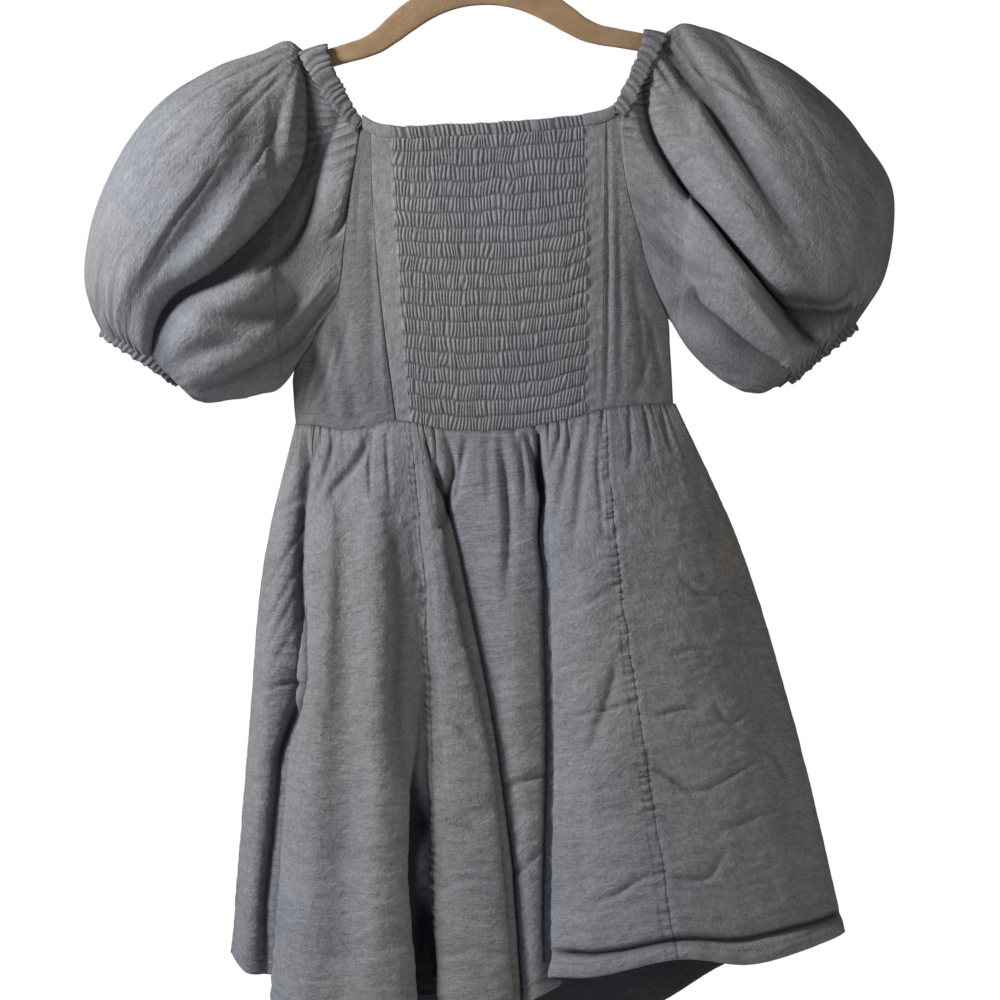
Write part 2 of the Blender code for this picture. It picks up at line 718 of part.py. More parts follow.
def shoulder_casing(side, finish):
    """The elastic casing over the shoulder, from the front neck corner to the back one."""
    count = SHOULDER_GATHERS * 2 + 1
    shares = np.linspace(0.02, 1.0, count)
    free, sewn = shoulder_edges(side, shares)
    free = np.concatenate([free, mirrored(free[-2::-1])])
    sewn = np.concatenate([sewn, mirrored(sewn[-2::-1])])
    centres = (free + sewn) / 2
    across = (sewn - free) / 2
    along = unit(np.gradient(centres, axis=0))
    out = unit(np.cross(across, along))
    if out[count - 1][2] < 0:
        out = -out
    wave = np.cos(math.pi * np.arange(len(centres)))
    rib = 1.0 + 0.26 * (1 + wave)[:, None] / 2
    sweep(f"shoulder_casing_{side}", centres, across, out * CASING_THICK * rib, BAND_SECTION, finish)


# The neck casings

NECK_CASING_HALF = 4.0
NECK_RIBS = 22


def neck_casings(finish):
    for name, face, ribs in (("neck_casing_front", -1, NECK_RIBS), ("neck_casing_back", 1, NECK_RIBS - 8)):
        x = np.linspace(-74.5, 85.5, 2 * ribs + 1)
        seam = neck_drop(x, face)
        drop = seam - 1.5 * SEAM - NECK_CASING_HALF
        y = face * (bodice_depth(x, seam) - CLOTH / 2)
        centres = np.stack([x, y, -drop], axis=-1)
        across = np.tile([0.0, 0.0, NECK_CASING_HALF], (len(x), 1))
        rib = 1.0 + 0.26 * np.cos(math.pi * np.arange(len(x)))[:, None]
        out = np.tile([0.0, face * CASING_THICK, 0.0], (len(x), 1)) * rib
        sweep(name, centres, across, out, BAND_SECTION, finish)


# The skirt

# the share of the skirt's length at each column of the table below
SKIRT_AT = (0.0, 0.24, 0.58, 1.0)

# Lines that run down the cloth, in order round it from the left side seam: x at the waist, hip,
# knee and hem; y at the hip, knee and hem (the waist follows the bodice); drop of the hem
SKIRT_LINES = [
    ("side_left", -120, -139, -150, -162, 0, 0, 4, 695),
    ("set_back", -116, -129, -140, -152, -12, -12, -8, 705),
    ("tuck_a", -111, -107, -115, -126, -12, -9, -5, 709),
    ("edge_a", -107, -112, -122, -133, -24, -26, -34, 718),
    ("broad_left", -99, -96, -103, -110, -38, -44, -56, 727),
    ("broad_dip", -87, -86, -84, -86, -34, -38, -52, 729),
    ("broad_crown", -73, -67, -64, -64, -42, -48, -60, 730),
    ("broad_right", -60, -52, -46, -43, -36, -40, -52, 729),
    ("gap_edge", -54, -45, -41, -36, -30, -32, -38, 726),
    ("gap_floor", -49.5, -40.5, -35.5, -30, -25, -20, -18, 718),
    ("seam_1", -45, -36, -30.5, -25, -28, -31, -36, 724),
    ("narrow_crown", -39, -28, -12, -2, -36, -40, -52, 728),
    ("edge_b", -33, -18, 9, 23, -31, -34, -42, 726),
    ("tuck_b", -27, -23, 1, 15, -20, -20, -22, 722),
    ("middle_left", -17, -4, 16, 28, -19, -18, -18, 722),
    ("middle_crown", 8, 15, 26, 35, -25, -25, -26, 718),
    ("tuck_c", 33, 48, 53, 53, -15, -14, -14, 708),
    ("edge_c", 42, 44, 46, 44, -27, -30, -34, 704),
    ("right_crown", 55, 60, 66, 70, -39, -44, -52, 710),
    ("seam_2", 81, 86, 102, 124, -40, -46, -56, 704),
    ("right_wide", 104, 120, 145, 171, -32, -38, -46, 701),
    ("right_turn", 119, 147, 177, 211, -18, -22, -27, 691),
    ("side_right", 127, 165, 202, 237, 0, 0, 0, 680),
    ("back_1", 116, 145, 178, 211, 19, 24, 28, 690),
    ("back_2", 90, 110, 136, 162, 34, 42, 46, 710),
    ("back_3", 62, 76, 92, 106, 25, 25, 24, 736),
    ("back_4", 30, 36, 44, 52, 35, 45, 54, 742),
    ("back_5", 0, 0, 0, -2, 25, 24, 22, 738),
    ("back_6", -30, -36, -46, -56, 35, 45, 55, 738),
    ("back_7", -62, -71, -82, -92, 26, 26, 24, 728),
    ("back_8", -96, -107, -120, -130, 22, 28, 36, 714),
]
LINE_NAMES = [row[0] for row in SKIRT_LINES]

# how far apart the gathers' ridges and troughs are on the waist seam, in front and behind
GATHER_STEP_FRONT = 4.4
GATHER_STEP_BACK = 7.0
GATHER_HEIGHT = 1.3
WAIST_HALF_WIDTH = 124.0
WAIST_HALF_DEPTH = 18.0
PLAIN_SIDE = 8.0

# the skirt's seam gap, as a share of the way round the cloth
SEAM_SHARE = 0.0012


def skirt_net(falls):
    """Points on every line of the table at the given shares of the skirt's length."""
    net = []
    for name, waist, hip, knee, hem, y_hip, y_knee, y_hem, hem_drop in SKIRT_LINES:
        face = 1.0 if name.startswith("back") else -1.0
        top = float(waist_drop(np.array([waist]), face)[0]) + SEAM
        depth = float(bodice_depth(np.array([waist]), np.array([top - 1.0]))[0])
        y_waist = 0.0 if name.startswith("side") else face * depth
        x = through(SKIRT_AT, (waist, hip, knee, hem), falls)
        y = through(SKIRT_AT, (y_waist, y_hip, y_knee, y_hem), falls)
        net.append(np.stack([x, y, -blend(top, hem_drop, falls)], axis=-1))
    return np.array(net)


def line_places():
    """Where each line lies round the cloth, from 0 to 1, by the cloth's width at the knee and hem."""
    net = skirt_net(np.array([0.35, 0.7, 1.0]))
    steps = np.linalg.norm(np.roll(net, -1, axis=0) - net, axis=-1).mean(axis=1)
    return np.concatenate([[0], np.cumsum(steps)[:-1]]) / steps.sum()


def gather_places(places):
    """Places of the gathers' ridges and troughs, which include every line of the table."""
    columns = []
    waists = column(SKIRT_LINES, 1)
    for i, (name, place) in enumerate(zip(LINE_NAMES, places)):
        after = (i + 1) % len(places)
        behind = name.startswith("back") or name == "side_right"
        step = GATHER_STEP_BACK if behind else GATHER_STEP_FRONT
        fewest = 2 if "gap_floor" in (name, LINE_NAMES[after]) else 1
        count = max(fewest, round(abs(waists[after] - waists[i]) / step))
        end = places[after] if after else 1.0
        columns += [blend(place, end, k / count) for k in range(count)]
    return np.array(columns)


def skirt_surface():
    """The skirt as a surface of (place round the cloth, share of length), and its columns' places."""
    places = line_places()
    wrap = 3
    knots = np.concatenate([places[-wrap:] - 1, places, places[:wrap] + 1])
    columns = gather_places(places)
    heights = np.where(np.arange(len(columns)) % 2 == 0, -1.0, 1.0)
    columns, heights = np.append(columns, 1.0), np.append(heights, -1.0)

    def surface(around, falls):
        falls = np.clip(falls, 0, 1)
        around = np.mod(around, 1.0)
        net = skirt_net(falls)
        net = np.concatenate([net[-wrap:], net, net[:wrap]])
        points = through(knots, net, around).transpose(1, 0, 2)
        stand = unit(points / np.array([WAIST_HALF_WIDTH**2, WAIST_HALF_DEPTH**2, np.inf]))
        fade = np.exp(-((falls / 0.17) ** 1.3))[:, None] * ease(np.abs(points[..., 1]) / PLAIN_SIDE)
        wave = np.interp(around, columns, heights)[None, :] * fade * GATHER_HEIGHT
        return points + stand * wave[..., None]

    return surface, places, columns


def skirt(finish):
    surface, places, columns = skirt_surface()
    falls = np.array([0.0, 0.025, 0.07, 0.13, 0.21, 0.31, 0.43, 0.56, 0.69, 0.82, 0.92, 1.0])
    seams = [places[LINE_NAMES.index(n)] for n in ("side_left", "seam_1", "seam_2", "side_right")] + [1.0]
    names = ("skirt_front_left", "skirt_front_centre", "skirt_front_right", "skirt_back")
    for name, start, end in zip(names, seams[:-1], seams[1:]):
        around = columns[(columns > start - 1e-9) & (columns < end + 1e-9)]
        normals = outward(surface, around, np.clip(falls, 2e-3, 1 - 2e-3))
        around[0] += SEAM_SHARE / 2
        around[-1] -= SEAM_SHARE / 2
        outer = surface(around, falls)
        wall(name, outer, outer - normals * CLOTH, finish)


def build():
    for made in list(bpy.data.objects):
        bpy.data.objects.remove(made)
    cloth = material("dress_cloth", DRESS_BLUE, 0.85)
    casing = material("casing_cloth", CASING_BLUE, 0.88)
    hanger()
    hook()
    bodice(cloth)
    neck_casings(casing)
    sleeves(cloth, casing)
    skirt(cloth)


build()
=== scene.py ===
import json
import math

import bpy
import numpy as np
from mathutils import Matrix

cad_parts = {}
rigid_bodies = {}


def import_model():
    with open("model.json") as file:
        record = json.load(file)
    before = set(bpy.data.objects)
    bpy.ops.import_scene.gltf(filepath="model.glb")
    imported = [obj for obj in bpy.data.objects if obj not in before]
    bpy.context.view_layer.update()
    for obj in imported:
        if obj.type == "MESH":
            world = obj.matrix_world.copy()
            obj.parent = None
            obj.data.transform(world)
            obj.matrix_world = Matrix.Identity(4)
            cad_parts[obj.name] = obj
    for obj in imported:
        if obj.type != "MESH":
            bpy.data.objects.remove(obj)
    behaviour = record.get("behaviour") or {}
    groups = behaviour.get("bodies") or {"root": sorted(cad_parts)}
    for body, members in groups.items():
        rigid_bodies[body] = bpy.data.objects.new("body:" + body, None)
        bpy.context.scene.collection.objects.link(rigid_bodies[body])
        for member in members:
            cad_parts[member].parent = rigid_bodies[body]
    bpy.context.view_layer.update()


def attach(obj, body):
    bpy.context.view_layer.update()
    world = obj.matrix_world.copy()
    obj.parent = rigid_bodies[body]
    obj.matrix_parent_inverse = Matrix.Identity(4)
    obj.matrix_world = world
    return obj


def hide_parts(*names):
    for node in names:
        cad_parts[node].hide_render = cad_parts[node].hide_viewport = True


# The frame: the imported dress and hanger, which every piece below is fitted to. Sizes are in
# millimetres from the inside of the hook's crown: x to the right, y away, and drops downwards.

for leftover in list(bpy.data.objects):
    bpy.data.objects.remove(leftover)
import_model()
METRES = 0.001


# The hanger's bar is a flat plastic strip that rises in a hump under the hook, with long sloping
# arms. It is flocked all over in a short tan velvet, paler where the light rakes its edges.

BAR_THICK = 5.0
BAR_TILT = math.radians(3.2)
BAR_TURNS_ABOUT = 80.0
BAR_END_R = 4.5
# how square the bar's section is: 1 is an oval and 0 a rectangle
BAR_SQUARE = 0.42
BAR_STATIONS = 260
BAR_SIDES = 32
# distance from the hanger's middle, drop of the bar's upper edge, drop of its lower edge
BAR_PROFILE = [
    (0, 62.0, 78.0), (14, 62.6, 79.2), (27, 64.6, 83.0), (38, 68.5, 88.5), (48, 74.0, 95.0),
    (57, 81.0, 101.0), (66, 89.0, 105.5), (75, 94.5, 108.0), (86, 97.8, 110.2), (100, 101.3, 113.3),
    (120, 106.6, 118.3), (145, 113.2, 124.6), (160, 117.2, 127.6), (167, 119.6, 127.2),
]
VELVET_TAN = (0.235, 0.150, 0.085)
VELVET_LIGHT = (0.330, 0.225, 0.135)


def column(table, index):
    """One named column of a table of rows."""
    return np.array([row[index] for row in table], float)


def blend(a, b, share):
    return a + (b - a) * share


def ease(value):
    """0 below 0, 1 above 1, and smooth between."""
    value = np.clip(value, 0.0, 1.0)
    return value * value * (3 - 2 * value)


def unit(vectors):
    return vectors / np.maximum(np.linalg.norm(vectors, axis=-1, keepdims=True), 1e-9)


def bell(away):
    """A bell curve: 1 where away is 0, and nearly 0 from two half widths off."""
    return np.exp(-(away**2))


def rounded(share):
    """The height of a round end, which is 1 where share is 1."""
    return np.sqrt(share * (2 - share))


def round_circle(count):
    """Even angles round a circle."""
    return np.linspace(0, 2 * math.pi, count + 1)[:-1]


def through(knots, values, at):
    """A smooth curve through values (a row for each knot), read at the places given."""
    knots = np.asarray(knots, float)
    values = np.asarray(values, float)
    at = np.clip(np.asarray(at, float), knots[0], knots[-1])
    slopes = np.gradient(values, knots, axis=0)
    span = np.clip(np.searchsorted(knots, at, side="right") - 1, 0, len(knots) - 2)
    length = knots[span + 1] - knots[span]
    share = (at - knots[span]) / length
    extra = values.ndim - 1
    share = share.reshape(share.shape + (1,) * extra)
    length = length.reshape(length.shape + (1,) * extra)
    start, end = values[span], values[span + 1]
    leave, arrive = slopes[span] * length, slopes[span + 1] * length
    return (
        start * (2 * share**3 - 3 * share**2 + 1)
        + leave * (share**3 - 2 * share**2 + share)
        + end * (3 * share**2 - 2 * share**3)
        + arrive * (share**3 - share**2)
    )


def made(name, points, faces, finish, node, cloth=None, rise=None):
    """A piece from points in millimetres, in place of a node of the frame. cloth is each point's or
    each corner's place on the flat cloth, also in millimetres, and the last argument is each point's
    painted light, from 0 in painted shade to 1, kept as a point attribute for its colour."""
    mesh = bpy.data.meshes.new(name)
    mesh.from_pydata((np.asarray(points, float) * METRES).tolist(), [], faces)
    corners = np.zeros(len(mesh.loops), np.int64)
    mesh.loops.foreach_get("vertex_index", corners)
    if cloth is not None:
        places = np.asarray(cloth, float)
        if len(places) == len(points):
            places = places[corners]
        layer = mesh.uv_layers.new(name="cloth")
        layer.data.foreach_set("uv", (places * METRES).ravel())
    if rise is not None:
        mesh.attributes.new("rise", "FLOAT", "POINT").data.foreach_set("value", rise.ravel())
    mesh.shade_smooth()
    mesh.materials.append(finish)
    piece = bpy.data.objects.new(name, mesh)
    bpy.context.scene.collection.objects.link(piece)
    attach(piece, "root")
    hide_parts(node)
    return piece


def banded(rings, closed=False):
    """Points and faces of a band from its rings. It closes on itself, or each end has a flat face."""
    stations, sides = rings.shape[:2]
    run = np.arange(stations if closed else stations - 1)[:, None]
    side = np.arange(sides)[None, :]
    ahead, beside = (run + 1) % stations, (side + 1) % sides
    corners = [run * sides + side, run * sides + beside, ahead * sides + beside, ahead * sides + side]
    faces = np.stack(corners, axis=-1).reshape(-1, 4).tolist()
    if not closed:
        last = (stations - 1) * sides
        faces.append(list(range(sides))[::-1])
        faces.append([last + i for i in range(sides)])
    points = rings.reshape(-1, 3)
    if signed_volume(points, faces) < 0:
        faces = [face[::-1] for face in faces]
    return points, faces


def swept(centres, across, out, section):
    """A band whose section, as (share across, share out), rides along centres."""
    return banded(np.stack([centres + across * u + out * w for u, w in section], axis=1))


def signed_volume(points, faces):
    """Positive where the faces look out of the solid; worked out over each face's fan."""
    fans = [(f[0], f[i], f[i + 1]) for f in faces for i in range(1, len(f) - 1)]
    a, b, c = (points[list(corner)] for corner in zip(*fans))
    return float((a * np.cross(b, c)).sum())


class Shade:
    """A shader socket that does sums: +, - and * between shades and numbers add Math nodes."""

    def __init__(self, tree, socket):
        self.tree = tree
        self.socket = socket

    def node(self, kind, settings=None, inputs=None, out=0):
        """Any node: its settings first, with a ramp's stops, and then its sockets' values or links."""
        made_node = self.tree.nodes.new(kind)
        for key, value in (settings or {}).items():
            if key == "stops":
                ramp = made_node.color_ramp.elements
                while len(ramp) < len(value):
                    ramp.new(1.0)
                for stop, (place, colour) in zip(ramp, value):
                    stop.position = place
                    stop.color = (*colour, 1.0)
            else:
                setattr(made_node, key, value)
        for key, value in (inputs or {}).items():
            if isinstance(value, Shade):
                self.tree.links.new(value.socket, made_node.inputs[key])
            else:
                made_node.inputs[key].default_value = value
        return Shade(self.tree, made_node.outputs[out])

    def maths(self, operation, *values):
        return self.node("ShaderNodeMath", {"operation": operation}, dict(enumerate(values)))

    def __add__(self, other):
        return self.maths("ADD", self, other)

    def __sub__(self, other):
        return self.maths("SUBTRACT", self, other)

    def __mul__(self, other):
        return self.maths("MULTIPLY", self, other)

    def __radd__(self, other):
        return self.maths("ADD", other, self)

    def __rsub__(self, other):
        return self.maths("SUBTRACT", other, self)

    def __rmul__(self, other):
        return self.maths("MULTIPLY", other, self)

    def between(self, low, high):
        """0 at low, 1 at high, held outside."""
        return self.node(
            "ShaderNodeMapRange", {"clamp": True}, {"Value": self, "From Min": low, "From Max": high}
        )

    def stretched(self, x, y, z):
        """This vector, multiplied along each axis."""
        return self.node("ShaderNodeVectorMath", {"operation": "MULTIPLY"}, {0: self, 1: (x, y, z)})

    def noise(self, scale, detail=2.0, roughness=0.5, distortion=0.0):
        """Cloudy noise over this vector, near 0.5."""
        return self.node(
            "ShaderNodeTexNoise",
            {"noise_dimensions": "3D"},
            {
                "Vector": self,
                "Scale": scale,
                "Detail": detail,
                "Roughness": roughness,
                "Distortion": distortion,
            },
        )

    def colours(self, low, high):
        """A colour between two, or two shades of colour, by this number."""
        low, high = [(*c, 1.0) if isinstance(c, tuple) else c for c in (low, high)]
        return self.node(
            "ShaderNodeMix", {"data_type": "RGBA", "clamp_factor": True}, {0: self, 6: low, 7: high}, out=2
        )


def finish_of(name, **fixed):
    """A material with its shader's fixed sockets set. Returns the material, a place to start from
    in the part's own coordinates, and a call that joins a varying socket."""
    material = bpy.data.materials.new(name)
    material.use_nodes = True
    tree = material.node_tree
    shader = tree.nodes["Principled BSDF"]
    for socket, value in fixed.items():
        shader.inputs[socket.replace("_", " ")].default_value = value
    place = Shade(tree, tree.nodes.new("ShaderNodeTexCoord").outputs["Object"])

    def join(socket, shade):
        tree.links.new(shade.socket, shader.inputs[socket])

    return material, place, join


def raised(height, distance):
    """A normal from a height that runs from 0 to 1 over the distance, in metres."""
    return height.node("ShaderNodeBump", {}, {"Height": height, "Distance": distance, "Strength": 1.0})


def velvet():
    material, place, join = finish_of(
        "hanger_velvet_tan",
        Sheen_Weight=0.35,
        Sheen_Roughness=0.45,
        Sheen_Tint=(0.9, 0.75, 0.6, 1.0),
        Specular_IOR_Level=0.2,
    )
    brushed = place.stretched(1.0, 1.0, 2.4).noise(38.0, detail=3.0)
    pile = place.noise(2600.0, detail=1.0)
    rubbed = place.noise(160.0, detail=4.0)
    paler = (brushed * 0.8 + rubbed * 0.4 - 0.1).between(0.25, 0.8)
    join("Base Color", paler.colours(VELVET_TAN, VELVET_LIGHT))
    join("Roughness", 0.82 + rubbed * 0.15)
    join("Normal", raised(pile * 0.7 + rubbed * 0.5, 0.0005))
    return material


def tilted(x, drop):
    """A place on the level hanger, turned as the hanger hangs, left arm low."""
    down = drop - BAR_TURNS_ABOUT
    return (
        x * math.cos(BAR_TILT) + down * math.sin(BAR_TILT),
        BAR_TURNS_ABOUT + down * math.cos(BAR_TILT) - x * math.sin(BAR_TILT),
    )


def arm_top(x):
    """Drop of the arm's upper edge at x."""
    drop = float(through(column(BAR_PROFILE, 0), column(BAR_PROFILE, 1), np.array([abs(x)]))[0])
    return tilted(x, drop)[1]


def hanger_bar():
    profile = [(-x, top, low) for x, top, low in BAR_PROFILE[:0:-1]] + BAR_PROFILE
    knots = column(profile, 0)
    places = np.linspace(knots[0], knots[-1], BAR_STATIONS)
    tops = through(knots, column(profile, 1), places)
    lows = through(knots, column(profile, 2), places)
    along = unit(np.stack([np.ones_like(places), np.gradient((tops + lows) / 2, places)], axis=-1))
    half = (lows - tops) / 2 * along[:, 0]
    near_end = np.minimum(places - places[0], places[-1] - places)
    half = half * rounded(np.clip(near_end / BAR_END_R, 0.02, 1.0))
    middle = (tops + lows) / 2
    upper = [tilted(x + a[1] * h, d - a[0] * h) for x, d, h, a in zip(places, middle, half, along)]
    lower = [tilted(x - a[1] * h, d + a[0] * h) for x, d, h, a in zip(places, middle, half, along)]
    upper, lower = (np.array([(x, 0.0, -d) for x, d in edge]) for edge in (upper, lower))
    corners = [(math.cos(turn), math.sin(turn)) for turn in round_circle(BAR_SIDES)]
    section = [[math.copysign(abs(v) ** BAR_SQUARE, v) for v in corner] for corner in corners]
    out = np.tile([0.0, -BAR_THICK / 2, 0.0], (len(places), 1))
    points, faces = swept((upper + lower) / 2, (upper - lower) / 2, out, section)
    made("hanger_strip", points, faces, velvet(), "hanger_bar")


hanger_bar()


# The hook is steel wire, threaded down through the top of the bar in a small plated collar and
# bent into most of a circle. It turns in the bar, and hangs square to it here.

WIRE_R = 1.7
CROWN_R = 18.0
HOOK_TURNS = np.radians(np.linspace(-48, 205, 12))
WIRE_STATIONS = 190
WIRE_SIDES = 20
# the collar at the wire's foot: its length, and how far it stands out from the wire
COLLAR_LENGTH = 4.6
COLLAR_PROUD = 1.5
STEEL = (0.62, 0.61, 0.59, 1.0)


def plated_steel():
    material, place, join = finish_of("hook_plated_steel", Base_Color=STEEL, Metallic=1.0)
    drawn = place.stretched(1.0, 1.0, 0.08).noise(1500.0, detail=2.0)
    join("Roughness", 0.2 + drawn * 0.16)
    join("Normal", raised(drawn, 0.00004))
    return material


def hook_wire():
    wire_r = CROWN_R + WIRE_R
    foot_x, foot_drop = tilted(0.0, BAR_PROFILE[0][1])
    stem = [(foot_x, foot_drop - 0.5), (foot_x, foot_drop - 6.0), (foot_x + 0.2, foot_drop - 13.0)]
    bend = [(2.6, CROWN_R * 2 + 6.6), (8.0, CROWN_R * 2 + 2.0)]
    ring = [(wire_r * math.cos(a), CROWN_R - wire_r * math.sin(a)) for a in HOOK_TURNS]
    route = np.array(stem + bend + ring)
    knots = np.concatenate([[0], np.cumsum(np.linalg.norm(np.diff(route, axis=0), axis=1))])
    read_at = np.linspace(0, knots[-1], WIRE_STATIONS)
    fine = through(knots, route, read_at)
    centres = np.stack([fine[:, 0], np.zeros(len(fine)), -fine[:, 1]], axis=-1)
    along = unit(np.gradient(centres, axis=0))
    across = np.stack([-along[:, 2], np.zeros(len(along)), along[:, 0]], axis=-1)
    end = np.clip((knots[-1] - read_at) / WIRE_R, 0.05, 1.0)
    girth = WIRE_R * rounded(end) + COLLAR_PROUD * ease((COLLAR_LENGTH - read_at) / 1.2)
    section = [(math.cos(a), math.sin(a)) for a in round_circle(WIRE_SIDES)]
    out = np.tile([0.0, -1.0, 0.0], (len(centres), 1))
    points, faces = swept(centres, across * girth[:, None], out * girth[:, None], section)
    made("hook_wire", points, faces, plated_steel(), "hanger_hook")


hook_wire()


# The shirred front is one rectangle of washed slate blue cotton gauze, gathered on nineteen rows
# of elastic thread, so the cloth stands in short upright ribs between the rows. It is plain along
# both princess seams. The bodice's outline and depths serve all four bodice pieces.

CLOTH = 1.4
SEAM = 0.3
# how far the bodice's cloth runs up into the neck casing, and down behind the skirt
NECK_TUCK = 2.0
WAIST_TUCK = 1.6
# the painted shade colour that creases, folds, rib valleys and the cloth's inside are darkened towards
GAUZE_PAINTED_SHADE = (0.017, 0.019, 0.028)
GAUZE_SHADOW = (0.098, 0.105, 0.126)
GAUZE_WORN = (0.258, 0.268, 0.298)
# how much redder and less blue the faded patches are
WARM_CAST = (1.04, 1.0, 0.92)

# drop, x of the cloth's left edge, how far the edge stands off the middle plane
LEFT_EDGE = [
    (150, -74.0, 10.0), (157, -76.0, 11.0), (180, -80.0, 12.0), (214, -85.0, 13.0), (240, -88.0, 13.0),
    (263, -91.0, 12.0), (278, -97.0, 10.0), (296, -108.0, 5.5), (315, -120.5, 0.2), (335, -121.0, 0.2),
    (356, -119.0, 0.2),
]
# the same of its right edge
RIGHT_EDGE = [
    (140, 88.0, 10.0), (151, 90.0, 11.0), (166, 91.0, 12.0), (182, 92.5, 13.0), (205, 96.5, 13.0),
    (228, 103.0, 12.0), (244, 107.0, 10.0), (262, 113.5, 5.5), (281, 122.0, 0.2), (300, 123.5, 0.2),
    (356, 126.5, 0.2),
]
BODICE_EDGES = {"left": LEFT_EDGE, "right": RIGHT_EDGE}
UNDERARM_DROP = {"left": 315.0, "right": 281.0}
CORNER_DROP = {"left": 160.0, "right": 151.0}
# x, drop of the sewn neckline under its casing
NECKLINE = [
    (-77, 159.0), (-68, 164.5), (-52, 167.0), (-20, 166.0), (13, 164.5), (46, 162.0), (69, 159.0),
    (80, 156.5), (90, 151.5),
]
BACK_NECKLINE = [(-77, 159.5), (-52, 167.0), (10, 168.5), (64, 163.0), (90, 152.0)]
# x, drop of the waist seam
WAIST = [
    (-120, 350.0), (-104, 351.5), (-85, 354.0), (-70, 352.0), (-59, 348.5), (-46, 349.0), (-26, 353.5),
    (0, 355.0), (26, 353.0), (52, 348.5), (72, 343.0), (86, 340.0), (106, 338.0), (127, 337.0),
]
# drop, half depth at the middle, x of the left and right princess seams, x of the shirring's sides
BODICE_LEVELS = [
    (155, 13.0, -70.5, 81.5, -57.5, 69.0),
    (205, 18.0, -69.0, 80.5, -56.5, 69.5),
    (244, 20.5, -66.0, 80.0, -53.5, 70.0),
    (284, 21.5, -62.0, 79.5, -51.0, 70.0),
    (320, 20.5, -57.5, 79.0, -48.0, 69.5),
    (356, 18.0, -53.0, 79.0, -45.0, 69.0),
]
SHIRRING_ROWS = 19
SHIRRING_RIBS = 52
SHIRRING_DROPS = (163.0, 353.0)
SHIRRED_COLUMNS = 341
STEPS_BETWEEN_ROWS = 12
# how high the cloth puffs out between the elastic rows, and how far the rows sink in
PUFF_HEIGHT = 2.0
GROOVE_DEPTH = 0.5
# half the gap left between two pieces at a seam
TOUCH = 0.03


def level(index, drop):
    return through(column(BODICE_LEVELS, 0), column(BODICE_LEVELS, index), drop)


def edge_x(side, drop):
    table = BODICE_EDGES[side]
    return through(column(table, 0), column(table, 1), drop)


def edge_depth(side, drop):
    table = BODICE_EDGES[side]
    return np.maximum(np.interp(drop, column(table, 0), column(table, 2)), SEAM / 2 + 0.05)


def neck_drop(x, face=-1):
    """Drop of the neckline's seam; the back neck hangs a little lower than the front."""
    table = NECKLINE if face < 0 else BACK_NECKLINE
    return through(column(table, 0), column(table, 1), x)


def waist_drop(x, face=-1):
    """Drop of the waist seam, which is drawn up in front and nearly straight behind."""
    table = WAIST if face < 0 else [WAIST[0], WAIST[-1]]
    return through(column(table, 0), column(table, 1), x)


def bodice_depth(x, drop):
    """Half the depth of the hanging bodice at a place on its outline."""
    left, right = edge_x("left", drop), edge_x("right", drop)
    share = np.clip((x - left) / (right - left), 0.0, 1.0)
    edge = blend(edge_depth("left", drop), edge_depth("right", drop), share)
    crown = 1 - (2 * share - 1) ** 4
    return edge + np.maximum(level(1, drop) - edge, 0) * crown


def value_noise(x, y, size, seed):
    """Smooth noise from -1 to 1 over a sheet, its lumps about size across."""
    grid = np.random.default_rng(seed).uniform(-1, 1, (64, 64))
    x, y = np.asarray(x, float) / size, np.asarray(y, float) / size
    col, row = np.floor(x).astype(int), np.floor(y).astype(int)
    fx, fy = ease(x - col), ease(y - row)
    a, b = grid[row % 64, col % 64], grid[row % 64, (col + 1) % 64]
    c, d = grid[(row + 1) % 64, col % 64], grid[(row + 1) % 64, (col + 1) % 64]
    return blend(blend(a, b, fx), blend(c, d, fx), fy)


def line_noise(along, size, seed, line=0.0):
    """Smooth noise from -1 to 1 along a line; another line has other noise."""
    return value_noise(along, 0 * along + line, size, seed)


def rumple(x, y, seed):
    """The soft hand crumple of washed gauze, from -1 to 1: long lumps both ways and small ones."""
    return (
        0.5 * value_noise(x, y * 1.7, 26.0, seed)
        + 0.3 * value_noise(x * 1.8, y, 12.0, seed + 1)
        + 0.2 * value_noise(x, y, 5.5, seed + 2)
    )


def grid_normals(points, face):
    """Unit normals of a grid of points that runs down and to the right, seen on that face."""
    down = np.gradient(points, axis=0)
    right = np.gradient(points, axis=1)
    normals = unit(np.cross(down, right))
    return normals * np.where(normals[..., 1:2] * face < 0, -1.0, 1.0)


def spans(count, step):
    """Every step-th index up to and with the last."""
    return np.unique(np.append(np.arange(0, count, step), count - 1))


def rim(faces, fine, coarse, picks):
    """Closes an edge: fine points in their order, and coarse ones opposite fine[picks]."""
    for k in range(len(picks) - 1):
        first, last = picks[k], picks[k + 1]
        middle = (first + last + 1) // 2
        for j in range(first, last):
            faces.append([fine[j], fine[j + 1], coarse[k] if j < middle else coarse[k + 1]])
        faces.append([fine[middle], coarse[k + 1], coarse[k]])


